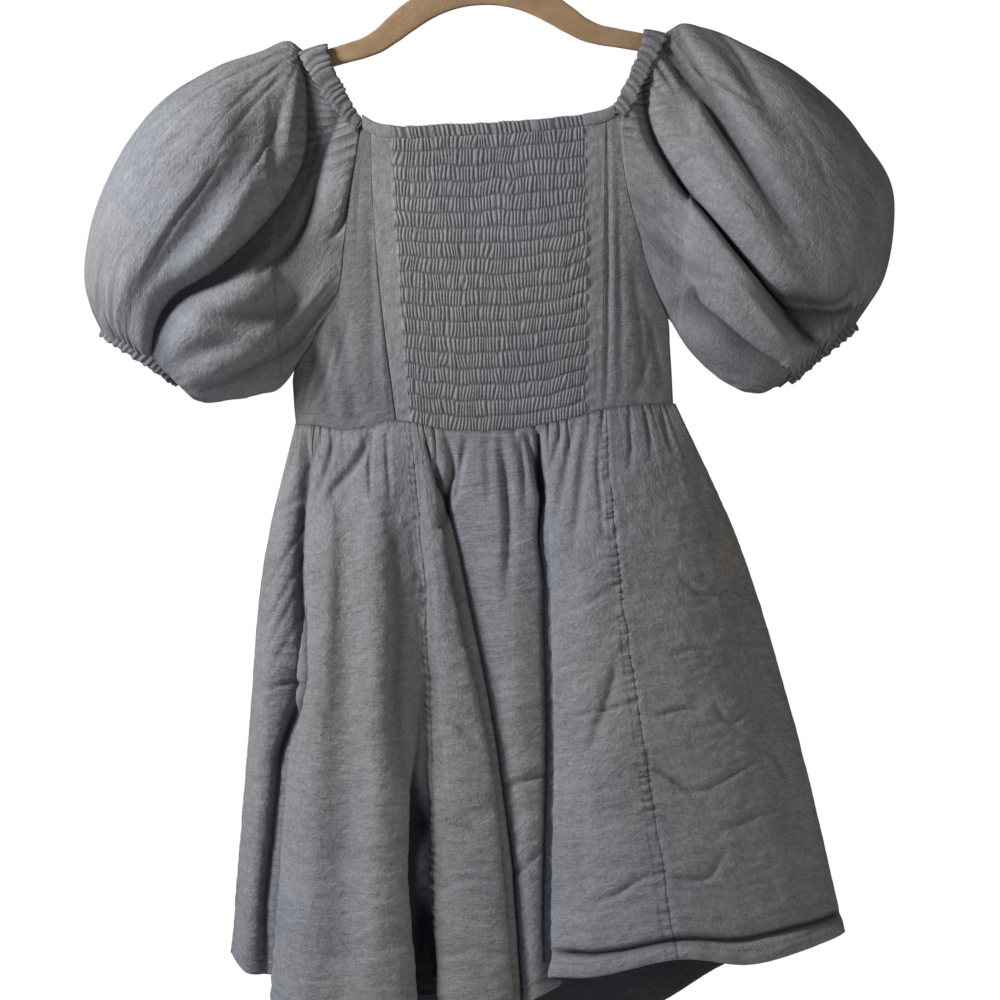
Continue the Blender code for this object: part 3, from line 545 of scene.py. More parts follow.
def shell(outer, inner, cloth, step=3, closed=False, lengthways=False):
    """Cloth as a thin closed shell: rows by columns of outer points, and every step-th inner one.
    Returns its points, faces and each corner's place on the flat cloth, which lengthways turns."""
    rows, columns = outer.shape[:2]
    row_picks = spans(rows, step)
    column_picks = np.arange(0, columns, step) if closed else spans(columns, step)
    coarse = inner[row_picks][:, column_picks]
    points = np.concatenate([outer.reshape(-1, 3), coarse.reshape(-1, 3)])
    places = np.concatenate([cloth.reshape(-1, 2), cloth[row_picks][:, column_picks].reshape(-1, 2)])
    inside = rows * columns
    width = len(column_picks)

    def quads(height, across, start, loop):
        row = np.arange(height - 1)[:, None]
        col = np.arange(across if loop else across - 1)[None, :]
        after = (col + 1) % across
        here, below = row * across, (row + 1) * across
        corners = [here + col, below + col, below + after, here + after]
        return (np.stack(corners, axis=-1).reshape(-1, 4) + start).tolist()

    faces = quads(rows, columns, 0, closed)
    faces += [face[::-1] for face in quads(len(row_picks), width, inside, closed)]
    top = list(range(columns))
    bottom = [(rows - 1) * columns + c for c in range(columns)]
    top_in = [inside + c for c in range(width)]
    bottom_in = [inside + (len(row_picks) - 1) * width + c for c in range(width)]
    if closed:
        picks = list(column_picks) + [columns]
        top, bottom = top + [top[0]], bottom + [bottom[0]]
        top_in, bottom_in = top_in + [top_in[0]], bottom_in + [bottom_in[0]]
    else:
        picks = list(column_picks)
        left = [r * columns for r in range(rows)][::-1]
        right = [r * columns + columns - 1 for r in range(rows)]
        left_in = [inside + r * width for r in range(len(row_picks))][::-1]
        right_in = [inside + r * width + width - 1 for r in range(len(row_picks))]
        down = list(row_picks)
        rim(faces, left, left_in, [rows - 1 - r for r in down[::-1]])
        rim(faces, right, right_in, down)
    rim(faces, top, top_in, picks)
    rim(faces, bottom[::-1], bottom_in[::-1], [picks[-1] - p for p in picks[::-1]])
    at = places[[corner for face in faces for corner in face]]
    if closed:
        girth = 2 * cloth[0, -1, 0] - cloth[0, -2, 0]
        last = np.zeros((rows - 1, columns, 4, 1), bool)
        last[:, -1, 2:] = True
        wrap = last.reshape(-1)
        at[: len(wrap), 0] = np.where(wrap, girth, at[: len(wrap), 0])
    return points, faces, at[:, ::-1] if lengthways else at


def washed_gauze(name, drawn_up=False):
    """Slate blue cotton gauze, garment-washed: slubbed yarns both ways, cloudy fading and a fine
    crinkle. Its colour is darkened towards a painted shade colour by each point's painted light, in
    creases, folds and the cloth's inside; where it is drawn up, its standing ribs are paled as wear
    and its valleys painted dark as shade."""
    material, place, join = finish_of(
        name,
        Sheen_Weight=0.1,
        Sheen_Roughness=0.6,
        Sheen_Tint=(0.75, 0.78, 0.86, 1.0),
        Specular_IOR_Level=0.15,
    )
    flat = place.node("ShaderNodeUVMap", {"uv_map": "cloth"})
    weft = flat.stretched(210.0, 1050.0, 1.0).noise(1.0, detail=2.0, roughness=0.6)
    warp = flat.stretched(1150.0, 190.0, 1.0).noise(1.0, detail=2.0, roughness=0.6)
    weft_slub = flat.stretched(44.0, 430.0, 1.0).noise(1.0, detail=3.0, roughness=0.6)
    warp_slub = flat.stretched(400.0, 30.0, 1.0).noise(1.0, detail=3.0, roughness=0.6)
    crumb = flat.stretched(0.75, 1.0, 1.0).noise(420.0, detail=3.0, roughness=0.65, distortion=1.2)
    wrinkle = flat.stretched(0.62, 1.0, 1.0).noise(95.0, detail=3.0, roughness=0.55, distortion=1.6)
    cloud = place.noise(26.0, detail=4.0, roughness=0.6)
    bloom = place.noise(6.0, detail=2.0)
    yarns = weft * 0.5 + warp * 0.5
    slubs = weft_slub * 0.5 + warp_slub * 0.5
    standing = yarns * 1.1 + slubs * 0.55 + crumb * 1.0 + wrinkle * 0.5 + cloud * 0.6 - 1.375
    tint = standing.between(0.0, 1.0)
    cool = tint.colours(GAUZE_SHADOW, GAUZE_WORN)
    warm_low, warm_high = (
        tuple(c * w for c, w in zip(colour, WARM_CAST)) for colour in (GAUZE_SHADOW, GAUZE_WORN)
    )
    warm = tint.colours(warm_low, warm_high)
    body = bloom.between(0.38, 0.62).colours(cool, warm)
    # painted shade: the colour darkens towards the painted shade colour where each point's painted light is
    # low
    rise = place.node("ShaderNodeAttribute", {"attribute_name": "rise"}, out=2)
    hollow, full = (-0.25, 0.62) if drawn_up else (0.0, 1.0)
    join("Base Color", rise.between(hollow, full).colours(GAUZE_PAINTED_SHADE, body))
    join("Roughness", 0.82 + yarns * 0.14)
    height = yarns * 0.3 + slubs * 0.25 + crumb * 0.5 + wrinkle * 0.8
    join("Normal", raised(height, 0.0009 if drawn_up else 0.0016))
    return material


gauze = washed_gauze("slate_gauze")
drawn_gauze = washed_gauze("slate_gauze_drawn_up", drawn_up=True)


def tucked(drop, top, bottom):
    """How far in the cloth lies where it runs up inside the casing and down behind the skirt."""
    in_casing = 0.9 * bell(((drop - top) / 1.2).clip(0))
    return in_casing + 1.1 * bell(((bottom - drop) / 1.3).clip(0))


def front_point(x, fall, lift):
    """A point on the bodice's front at x, a share of the way from neck to waist, lifted off it."""
    top, bottom = neck_drop(x) - NECK_TUCK, waist_drop(x) + WAIST_TUCK
    drop = blend(top, bottom, fall)
    return np.stack([x, -bodice_depth(x, drop) - lift + tucked(drop, top, bottom), -drop], axis=-1)


def shirring_lift(share, row):
    """Height of the shirred cloth from 0 to 1: share runs across it, row down its elastic rows."""
    line = np.floor(row)
    within = row - line
    loose = 0.7 * value_noise(share * 60, line * 7.3, 6.1, 11)
    loose = loose + 0.34 * value_noise(share * 60, line * 5.1, 1.9, 15)
    slant = (within - 0.5) * (0.9 * value_noise(share * 30, line * 4.3, 3.0, 16) + 0.3)
    bend = 0.34 * value_noise(share * 50, row * 1.9, 1.8, 12)
    rib = np.abs(np.cos(math.pi * (SHIRRING_RIBS * share + 0.37 * line + loose + slant + bend)))
    puff = np.sin(math.pi * np.clip(within, 0, 1)) ** 0.5
    strength = 0.78 + 0.22 * value_noise(share * 47, line * 3.7, 1.4, 13)
    return (0.06 + 0.94 * puff) * (0.26 + 0.74 * rib) * strength


def shirred_front():
    across = np.linspace(0, 1, SHIRRED_COLUMNS)
    falls = np.linspace(0, 1, STEPS_BETWEEN_ROWS * SHIRRING_ROWS + 1)
    drops = blend(*SHIRRING_DROPS, falls)
    seam_left, seam_right = level(2, drops) + TOUCH, level(3, drops) - TOUCH
    x = blend(seam_left[:, None], seam_right[:, None], across[None, :])
    block_left, block_right = level(4, drops)[:, None], level(5, drops)[:, None]
    share = (x - block_left) / (block_right - block_left)
    row = np.clip(falls * SHIRRING_ROWS, 0, SHIRRING_ROWS - 1e-6)[:, None] + 0 * x
    sway = 0.13 * value_noise(x, row * 4, 11.0, 14)
    inside = ease(share / 0.016) * ease((1 - share) / 0.016)
    rise = shirring_lift(share, np.clip(row + sway * ease(row) * ease(SHIRRING_ROWS - row), 0, SHIRRING_ROWS))
    lift = PUFF_HEIGHT * rise - GROOVE_DEPTH
    at_seam = bell((x - seam_left[:, None]) / 1.3) + bell((x - seam_right[:, None]) / 1.3)
    margin = 0.5 * rumple(x * 2.2, drops[:, None] * 1.1, 21) * (1 - at_seam)
    margin = margin + 0.35 * np.cos(row * math.pi * 2) * bell(np.minimum(share, 1 - share) / 0.05)
    outer = front_point(x, falls[:, None], lift * inside + margin * (1 - inside))
    inner = front_point(x, np.clip(falls, 0.004, 0.996)[:, None], -CLOTH - GROOVE_DEPTH)
    cloth = np.stack([x * 1.6, drops[:, None] + 0 * x], axis=-1)
    points, faces, at = shell(outer, inner, cloth, step=6)
    # painted light: the ribs' tops paled as wear and their valleys painted dark as shade; 0.85 at the plain
    # margins
    wear_and_painted_light = np.ones(len(points))
    wear_and_painted_light[: rise.size] = blend(0.85, ease(rise * 1.25), inside).ravel()
    piece = made("shirred_front", points, faces, drawn_gauze, "front_centre", at, wear_and_painted_light)


shirred_front()


# The side fronts run from the neck corners and armholes to the waist. Each is joined to the
# shirred front by a pressed princess seam, which leaves a soft ridge and a few drag lines.

# folds as folded() reads them; a depth below 0 is a ridge
SIDE_FRONT_FOLDS = [
    ([(-64, 166, 0.3), (-60, 250, 1.0), (-56, 345, 0.6)], 2.4, 1.6, 0),
    ([(-67, 175, -0.3), (-64, 250, -0.9), (-60, 340, -0.5)], 2.6, 2.0, 0),
    ([(-72, 195, 0.1), (-70, 260, 0.8), (-69, 335, 0.4)], 3.4, 2.6, 0),
    ([(-82, 268, 0.2), (-90, 300, 1.5), (-101, 342, 0.6)], 3.2, 2.4, 0),
    ([(-92, 285, 0.2), (-100, 312, 1.8), (-112, 345, 0.8)], 3.4, 2.6, 0),
    ([(-76, 285, 0.1), (-82, 318, -1.2), (-88, 345, -0.5)], 4.0, 4.0, 0),
    ([(-108, 300, 0.4), (-112, 322, 1.4), (-117, 346, 0.6)], 2.6, 2.0, 0),
    ([(-112, 285, 1), (-106, 312, 3.4), (-99, 345, 2.6)], 7, 8, 0),
    ([(-94, 264, 0.5), (-90, 300, 2.2), (-83, 345, 2.2)], 5, 6, 0),
    ([(-77, 175, 0.1), (-79, 210, 0.7), (-80, 240, 0.1)], 2.2, 1.8, 0),
    ([(82.5, 162, 0.3), (82.5, 250, 1.1), (81.5, 335, 0.6)], 1.4, 1.6, 0),
    ([(86, 168, -0.2), (86.5, 250, -0.5), (86, 330, -0.3)], 2.4, 2.4, 0),
    ([(88.5, 180, 0.2), (90, 260, 0.8), (91, 330, 0.4)], 2.4, 2.4, 0),
    ([(98, 248, 0.2), (103, 285, 1.5), (106, 325, 0.6)], 3.0, 3.0, 0),
    ([(104, 270, 0.3), (112, 295, 1.4), (118, 325, 0.5)], 2.6, 2.6, 0),
    ([(112, 285, 0.2), (108, 310, 1.0), (100, 332, 0.3)], 2.6, 2.6, 0),
]


# how dark the painted shade in the deepest plain crease gets, and in the deepest lapped one
CREASE_DARK = 0.62
LAPPED_DARK = 1.0
# the depth of a crease whose painted shade gets half as dark, and the half width past which a fold is too
# open for it
CREASE_HALF = 2.6
CREASE_SOFT = 5.0
# the half width of a lapped fold's own painted dark line, and how light the cloth's inside is painted, as
# painted shade
CREASE_CORE = 1.3
INSIDE_PAINTED_LIGHT = 0.15
# how many points round it the coarse inside of the cloth looks at, to stay below the outside
INSIDE_REACH = 4
# the least that the bodice's outside stands off the middle plane
OUTSIDE_OFF_MIDDLE = 0.2


def folded(x, drop, folds):
    """How deep a table of folds is at each place of a face, how far it pushes the cloth to the
    right and down, and its painted light, from 0, painted shade in a fold's crease, to 1. A fold is
    its way down the cloth, as (x, drop, depth), its half width to the left and to the right, and how
    far its left side hangs over it, or its right where negative."""
    sunk, push_x, push_drop = (np.zeros(x.shape) for _ in range(3))
    painted_light = np.ones(x.shape)
    for path, left, right, lip in folds:
        path = np.array(path, float)
        knots = np.concatenate([[0], np.cumsum(np.hypot(*np.diff(path[:, :2], axis=0).T))])
        fine = through(knots, path, np.linspace(0, knots[-1], 5 * len(path)))
        reach = 2.6 * max(left, right)
        low, high = fine[:, :2].min(axis=0) - reach, fine[:, :2].max(axis=0) + reach
        near = (x > low[0]) & (x < high[0]) & (drop > low[1]) & (drop < high[1])
        if not near.any():
            continue
        px, pd = x[near], drop[near]
        far, side = np.full(px.shape, np.inf), np.zeros(px.shape)
        deep, out_x, out_drop = (np.zeros(px.shape) for _ in range(3))
        for start, end in zip(fine[:-1], fine[1:]):
            run_x, run_drop = end[:2] - start[:2]
            length = math.hypot(run_x, run_drop)
            share = np.clip(((px - start[0]) * run_x + (pd - start[1]) * run_drop) / length**2, 0, 1)
            dx, dd = px - start[0] - share * run_x, pd - start[1] - share * run_drop
            away = np.hypot(dx, dd)
            closer = away < far
            far = np.where(closer, away, far)
            side = np.where(closer, dx * run_drop - dd * run_x, side)
            deep = np.where(closer, start[2] + share * (end[2] - start[2]), deep)
            out_x = np.where(closer, run_drop / length, out_x)
            out_drop = np.where(closer, -run_x / length, out_drop)
        wide = np.where(side < 0, left, right)
        sunk[near] += deep * bell(far / wide)
        over = side * lip < 0
        # painted shade in the colour: a dark halo beside the crease, and for a lapped fold a crisp dark core
        # line
        crease = deep.clip(0) / (deep.clip(0) + CREASE_HALF) * min(1.0, CREASE_SOFT / min(left, right))
        crease = crease * (LAPPED_DARK if lip else CREASE_DARK)
        narrow = np.where(over, 0.35, 0.8 if lip else 0.6) * wide
        halo = bell(far / narrow)
        core = bell(far / CREASE_CORE) if lip else halo
        painted_light[near] *= 1 - crease * (0.75 * halo + 0.25 * core)
        if lip:
            roll = bell((far / wide - 0.8) / 0.8)
            under = math.exp(-1.0) * bell(far / (0.6 * wide))
            moved = lip * deep / np.abs(path[:, 2]).max() * np.where(over, roll, under)
            push_x[near] += moved * out_x
            push_drop[near] += moved * out_drop
    return sunk, push_x, push_drop, painted_light


def shell_painted_light(points, painted_light):
    """The painted light of each point of a shell: the outer ones first, and its inside after, painted dark as
    shade.
    """
    result = np.full(len(points), INSIDE_PAINTED_LIGHT)
    result[: painted_light.size] = painted_light.ravel()
    return result


def deepest(depth, closed=False):
    """The greatest depth near each point of a grid, which the coarse inside has to lie below."""
    reach = INSIDE_REACH
    rows = np.pad(depth, ((reach, reach), (0, 0)), mode="edge")
    depth = np.max([rows[k : k + len(depth)] for k in range(2 * reach + 1)], axis=0)
    columns = np.pad(depth, ((0, 0), (reach, reach)), mode="wrap" if closed else "edge")
    return np.max([columns[:, k : k + depth.shape[1]] for k in range(2 * reach + 1)], axis=0)


def panel_edge(kind, drop):
    """x of a named edge of a bodice piece."""
    if kind in ("left", "right"):
        return edge_x(kind, drop)
    return level({"left seam": 2, "right seam": 3}[kind], drop)


def bodice_panel(a, b, shares, falls, face):
    """Points of the bodice between edges a and b: shares run across and falls from neck to waist."""
    tops = [CORNER_DROP.get(k, 160.0) for k in (a, b)]
    neck_x = blend(panel_edge(a, tops[0]), panel_edge(b, tops[1]), shares)
    waist_x = blend(panel_edge(a, 350.0), panel_edge(b, 340.0), shares)
    top = neck_drop(neck_x, face) - NECK_TUCK
    bottom = waist_drop(waist_x, face) + WAIST_TUCK
    drop = blend(top[None, :], bottom[None, :], falls[:, None])
    x_a = panel_edge(a, blend(top[0], bottom[0], falls)) + TOUCH
    x_b = panel_edge(b, blend(top[-1], bottom[-1], falls)) - TOUCH
    x = blend(x_a[:, None], x_b[:, None], shares[None, :])
    depth = np.maximum(bodice_depth(x, drop) - tucked(drop, top[None, :], bottom[None, :]), 0.3)
    return np.stack([x, face * depth, -drop], axis=-1)


def kept_off_middle(points, face, least):
    points[..., 1] = face * np.maximum(face * points[..., 1], least)


def bodice_piece(name, node, a, b, columns, rows, face, folds, seed, painted_shadow_dim=1.0):
    """A plain piece of the bodice between its edges a and b, on the front (-1) or the back (1)."""
    base = bodice_panel(a, b, np.linspace(0, 1, columns), np.linspace(0, 1, rows), face)
    normals = grid_normals(base, face)
    x, drop = base[..., 0], -base[..., 2]
    edges = np.minimum(np.linspace(0, 1, columns), np.linspace(1, 0, columns))
    free = ease(edges / 0.05)[None, :]
    sunk, _, _, painted_light = folded(x, drop, folds)
    sunk = sunk - 0.6 * rumple(x * 1.5, drop * 0.9, seed)
    from_seam = np.minimum(np.arange(columns), np.arange(columns)[::-1])[None, :]
    # painted shade along both seams; a factor below 1 paints the whole piece darker as a sleeve's shadow
    painted_light = painted_shadow_dim * painted_light * (1 - 0.6 * bell(from_seam / 1.1))
    outer = base - normals * (sunk * free)[..., None]
    kept_off_middle(outer, face, OUTSIDE_OFF_MIDDLE)
    inner = base - normals * (CLOTH + deepest((sunk * free).clip(0)))[..., None]
    kept_off_middle(inner, face, SEAM / 2)
    if face > 0:
        outer, inner, painted_light = outer[:, ::-1], inner[:, ::-1], painted_light[:, ::-1]
        x, drop = x[:, ::-1], drop[:, ::-1]
    points, faces, at = shell(outer, inner, np.stack([x, drop], axis=-1))
    piece = made(name, points, faces, gauze, node, at, shell_painted_light(points, painted_light))


# the left side front is painted darker, as the left sleeve's shadow on it
bodice_piece(
    "side_front_left", "front_side_left", "left", "left seam", 60, 150, -1, SIDE_FRONT_FOLDS,
    seed=31, painted_shadow_dim=0.66,
)
bodice_piece(
    "side_front_right", "front_side_right", "right seam", "right", 50, 150, -1, SIDE_FRONT_FOLDS,
    seed=32,
)


# The back bodice is one plain piece from side seam to side seam. The photograph hides it, so it
# has only the slack drag lines that such a back has as it hangs.

BACK_FOLDS = [
    ([(-60, 190, 0.1), (-74, 240, 1.1), (-92, 300, 0.2)], 6, 6, 0),
    ([(-20, 185, -0.1), (-34, 260, -1.0), (-40, 330, -0.2)], 7, 7, 0),
    ([(14, 180, 0.1), (15, 260, 0.9), (10, 340, 0.2)], 8, 7, 0),
    ([(48, 190, -0.1), (56, 260, -1.0), (60, 325, -0.2)], 6.5, 6.5, 0),
    ([(76, 200, 0.1), (90, 260, 1.1), (98, 320, 0.2)], 6, 6, 0),
    ([(-95, 330, 0.1), (-66, 337, 0.8), (-40, 338, 0.1)], 4, 4, 0),
    ([(30, 334, 0.1), (64, 331, 0.8), (100, 322, 0.1)], 4, 4, 0),
]

bodice_piece(
    "plain_back", "back_bodice", "left", "right", 96, 76, 1, BACK_FOLDS,
    seed=33,
)


# The neck casings bind the square neck: a folded strip of the same gauze with elastic drawn
# through it. In front it is ribbed over the shirring and runs out plain to both corners.

# half a casing's thickness, and half the neck casing's width
CASING_THICK = 1.9
NECK_CASING_HALF = 4.1
NECK_ENDS = (-76.0, 87.0)
# x where the front casing's ribs begin and end
NECK_DRAWN = (-57.0, 69.0)
NECK_RIBS = 38
NECK_STATIONS = 700
ROUND_BAND = 16
BAND_TURNS = np.arange(ROUND_BAND) * 2 * math.pi / ROUND_BAND


def ribs(along, count, seed):
    """Ribs of uneven width and strength, from 0 in their valleys to 1 on top."""
    uneven = 0.6 * line_noise(along * count, 1.7, seed)
    strength = 0.75 + 0.25 * line_noise(along * count, 1.3, seed + 1, 9)
    return np.abs(np.cos(math.pi * (along * count + uneven))) * strength


def ribbed_band(name, node, centres, across, out, relief, closed=False, wear_and_painted_light=1.0):
    """A casing: a flat tube whose outside is ribbed by relief, a row of heights for each station.
    The relief is also its painted light: its rib valleys are painted dark as shade and its tops paled
    as wear, and the last argument below 1 paints it all darker as shade."""
    u, w = (np.sign(wave) * np.abs(wave) ** 0.7 for wave in (np.cos(BAND_TURNS), np.sin(BAND_TURNS)))
    lift = CASING_THICK * w[None, :] * (0.35 + 0.65 * relief)
    rings = centres[:, None] + across[:, None] * (u[None, :] * (0.88 + 0.12 * relief))[..., None]
    rings = rings + out[:, None] * lift[..., None]
    points, faces = banded(rings, closed)
    walked = np.concatenate([[0], np.cumsum(np.linalg.norm(np.diff(centres, axis=0), axis=1))])
    width = np.linalg.norm(across, axis=1).mean()
    places = np.stack(
        [walked[:, None] * 1.7 + 0 * lift, width * np.arange(ROUND_BAND)[None, :] / 4 + 0 * lift], axis=-1
    )
    piece = made(name, points, faces, drawn_gauze, node, places.reshape(-1, 2), relief * wear_and_painted_light)


def neck_casing(name, node, face):
    x = np.linspace(*NECK_ENDS, NECK_STATIONS)
    seam = neck_drop(x, face)
    drop = seam - 1.5 * SEAM - NECK_CASING_HALF
    y = face * (bodice_depth(x, seam) - CLOTH / 2)
    centres = np.stack([x, y, -drop], axis=-1)
    share = (x - NECK_DRAWN[0]) / (NECK_DRAWN[1] - NECK_DRAWN[0])
    drawn = (ease(share / 0.04 + 0.3) * ease((1 - share) / 0.04 + 0.3))[:, None]
    slant = 0.009 * np.cos(BAND_TURNS)[None, :]
    rib = ribs(share[:, None] + slant, NECK_RIBS, 41 if face < 0 else 45)
    relief = blend(0.85 + 0.1 * line_noise(x, 6.0, 44)[:, None], rib, drawn)
    wave = 0.4 * line_noise(x, 5.0, 43)
    across = np.stack([0 * x, 0 * x, NECK_CASING_HALF + 0.35 + wave * drawn[:, 0]], axis=-1)
    out = np.tile([0.0, face, 0.0], (len(x), 1))
    ribbed_band(name, node, centres, across, out, relief)


neck_casing("neck_binding_front", "neck_casing_front", -1)
neck_casing("neck_binding_back", "neck_casing_back", 1)


# The shoulder casings carry the dress. Each is the sleeve's own head, folded over elastic and
# drawn up in close ribs, from the front neck corner over the hanger's arm to the back corner.

SIGN = {"left": -1.0, "right": 1.0}
# share of the way round the sleeve's head that each half of the casing takes
SHOULDER_SHARE = 0.2
# how far the casing's middle lies over the hanger's arm
SHOULDER_REST = 1.7 * 1.26 + 2 * SEAM
SHOULDER_RIBS = 12
# stations from the neck corner to the top of the shoulder
SHOULDER_STATIONS = 245
# how much darker the ribs of the shoulder casings and the cuffs are painted than the neck's, as painted shade
CASINGS_PAINTED_SHADE = 0.62
# share of the way from the neck corner to the top of the shoulder, and x, drop and half depth of
# the casing's free edge and of its stitched edge; the hanger's arm gives the drops of the last row
SHOULDER = {
    "left": [
        (0.00, -75.5, 154.0, 10.5, -79.5, 160.0, 12.0),
        (0.18, -80.0, 147.0, 10.5, -87.0, 153.0, 12.5),
        (0.40, -86.0, 136.5, 10.5, -95.5, 142.5, 12.5),
        (0.62, -92.0, 124.0, 9.8, -105.0, 129.5, 11.5),
        (0.80, -96.5, 114.0, 7.6, -111.5, 119.0, 9.0),
        (0.93, -99.0, 105.5, 4.6, -115.0, 110.6, 5.2),
        (1.00, -99.5, 0.0, 0.0, -116.0, 0.0, 0.0),
    ],
    "right": [
        (0.00, 86.0, 146.0, 10.5, 92.5, 151.0, 12.0),
        (0.18, 90.0, 137.0, 10.5, 98.5, 143.0, 12.5),
        (0.40, 95.5, 126.0, 10.5, 104.0, 131.5, 12.5),
        (0.62, 100.5, 114.0, 9.8, 110.0, 118.0, 11.5),
        (0.80, 104.0, 104.0, 7.6, 116.0, 107.5, 9.0),
        (0.93, 106.0, 95.8, 4.6, 120.5, 99.0, 5.2),
        (1.00, 106.5, 0.0, 0.0, 122.0, 0.0, 0.0),
    ],
}


def mirrored(points):
    return points * np.array([1.0, -1.0, 1.0])


def shoulder_edges(side, share):
    """The casing's free and stitched edges, from the neck corner (0) to the shoulder's top (1)."""
    table = np.array(SHOULDER[side])
    table[-1, 2] = arm_top(table[-1, 1]) - SHOULDER_REST
    table[-1, 5] = arm_top(table[-1, 4]) - SHOULDER_REST
    read = through(table[:, 0], table[:, 1:], share)
    free = np.stack([read[:, 0], -read[:, 2], -read[:, 1]], axis=-1)
    sewn = np.stack([read[:, 3], -read[:, 5], -read[:, 4]], axis=-1)
    return free, sewn


def shoulder_casing(side):
    half = np.linspace(-0.02, 1.0, SHOULDER_STATIONS).clip(0)
    free, sewn = shoulder_edges(side, half)
    corner = np.array([0.0, 0.0, -1.2])
    free[0], sewn[0] = free[0] + corner, sewn[0] + corner
    free = np.concatenate([free, mirrored(free[-2::-1])])
    sewn = np.concatenate([sewn, mirrored(sewn[-2::-1])])
    sewn = sewn + unit(sewn - free) * 2.2
    centres, across = (free + sewn) / 2, (sewn - free) / 2
    along = unit(np.gradient(centres, axis=0))
    out = unit(np.cross(across, along))
    if out[SHOULDER_STATIONS - 1][2] < 0:
        out = -out
    share = np.linspace(0, 1, len(centres))
    slant = 0.012 * np.cos(BAND_TURNS)[None, :] + 0.005 * np.sin(3 * BAND_TURNS)[None, :]
    seed = 51 if side == "left" else 55
    wander = 0.011 * line_noise(share * 90, 4.0, seed + 2)[:, None]
    relief = ribs(share[:, None] + slant + wander, 2 * SHOULDER_RIBS, seed) ** 0.8
    frill = 1.0 + 0.14 * (ribs(share, 2 * SHOULDER_RIBS, seed) - 0.5)
    frill = frill + 0.1 * line_noise(share * 90, 2.6, seed + 3)
    ribbed_band(
        f"shoulder_binding_{side}", f"shoulder_casing_{side}", centres, across * frill[:, None], out,
        relief, wear_and_painted_light=CASINGS_PAINTED_SHADE,
    )


for side in ("left", "right"):
    shoulder_casing(side)


# The puff sleeves are cut very full and gathered into the shoulder casing and the cuff. Each
# hangs slack, so its upper part falls forward over a deep diagonal fold to the cuff.

# share of the sleeve's length: x and drop of the upper outline, x and drop of the lower outline,
# half depth at the front and at the back
SLEEVE_RINGS = {
    "left": [
        (0.05, -124, 101.5, -123, 319, 19, 17),
        (0.12, -142, 108.0, -129, 326, 29, 25),
        (0.28, -172, 119.0, -142, 331, 43, 36),
        (0.48, -211, 146.0, -157, 334, 50, 42),
        (0.66, -239, 187.0, -170, 336, 46, 40),
        (0.82, -254, 231.0, -181, 336, 37, 33),
        (0.93, -255, 265.0, -188, 332, 26, 25),
        (1.00, -246, 287.0, -193, 322, 17, 17),
    ],
    "right": [
        (0.05, 130, 90.5, 125, 285, 19, 17),
        (0.12, 146, 93.0, 130, 294, 29, 25),
        (0.28, 176, 105.5, 138, 305, 43, 36),
        (0.48, 214, 128.5, 148, 315, 50, 42),
        (0.66, 247, 163.0, 160, 324, 46, 40),
        (0.82, 269, 208.0, 175, 330, 37, 33),
        (0.93, 261, 259.0, 187, 329, 26, 25),
        (1.00, 244, 283.0, 198, 321, 17, 17),
    ],
}
SLEEVE_GIRTH = 480.0
SLEEVE_LENGTH = 250.0
# rows of the cloth between the armhole and the first ring, and from there to the cuff
ARMHOLE_ROWS = 30
OUTER_ROWS = 154
AROUND_SLEEVE = 336
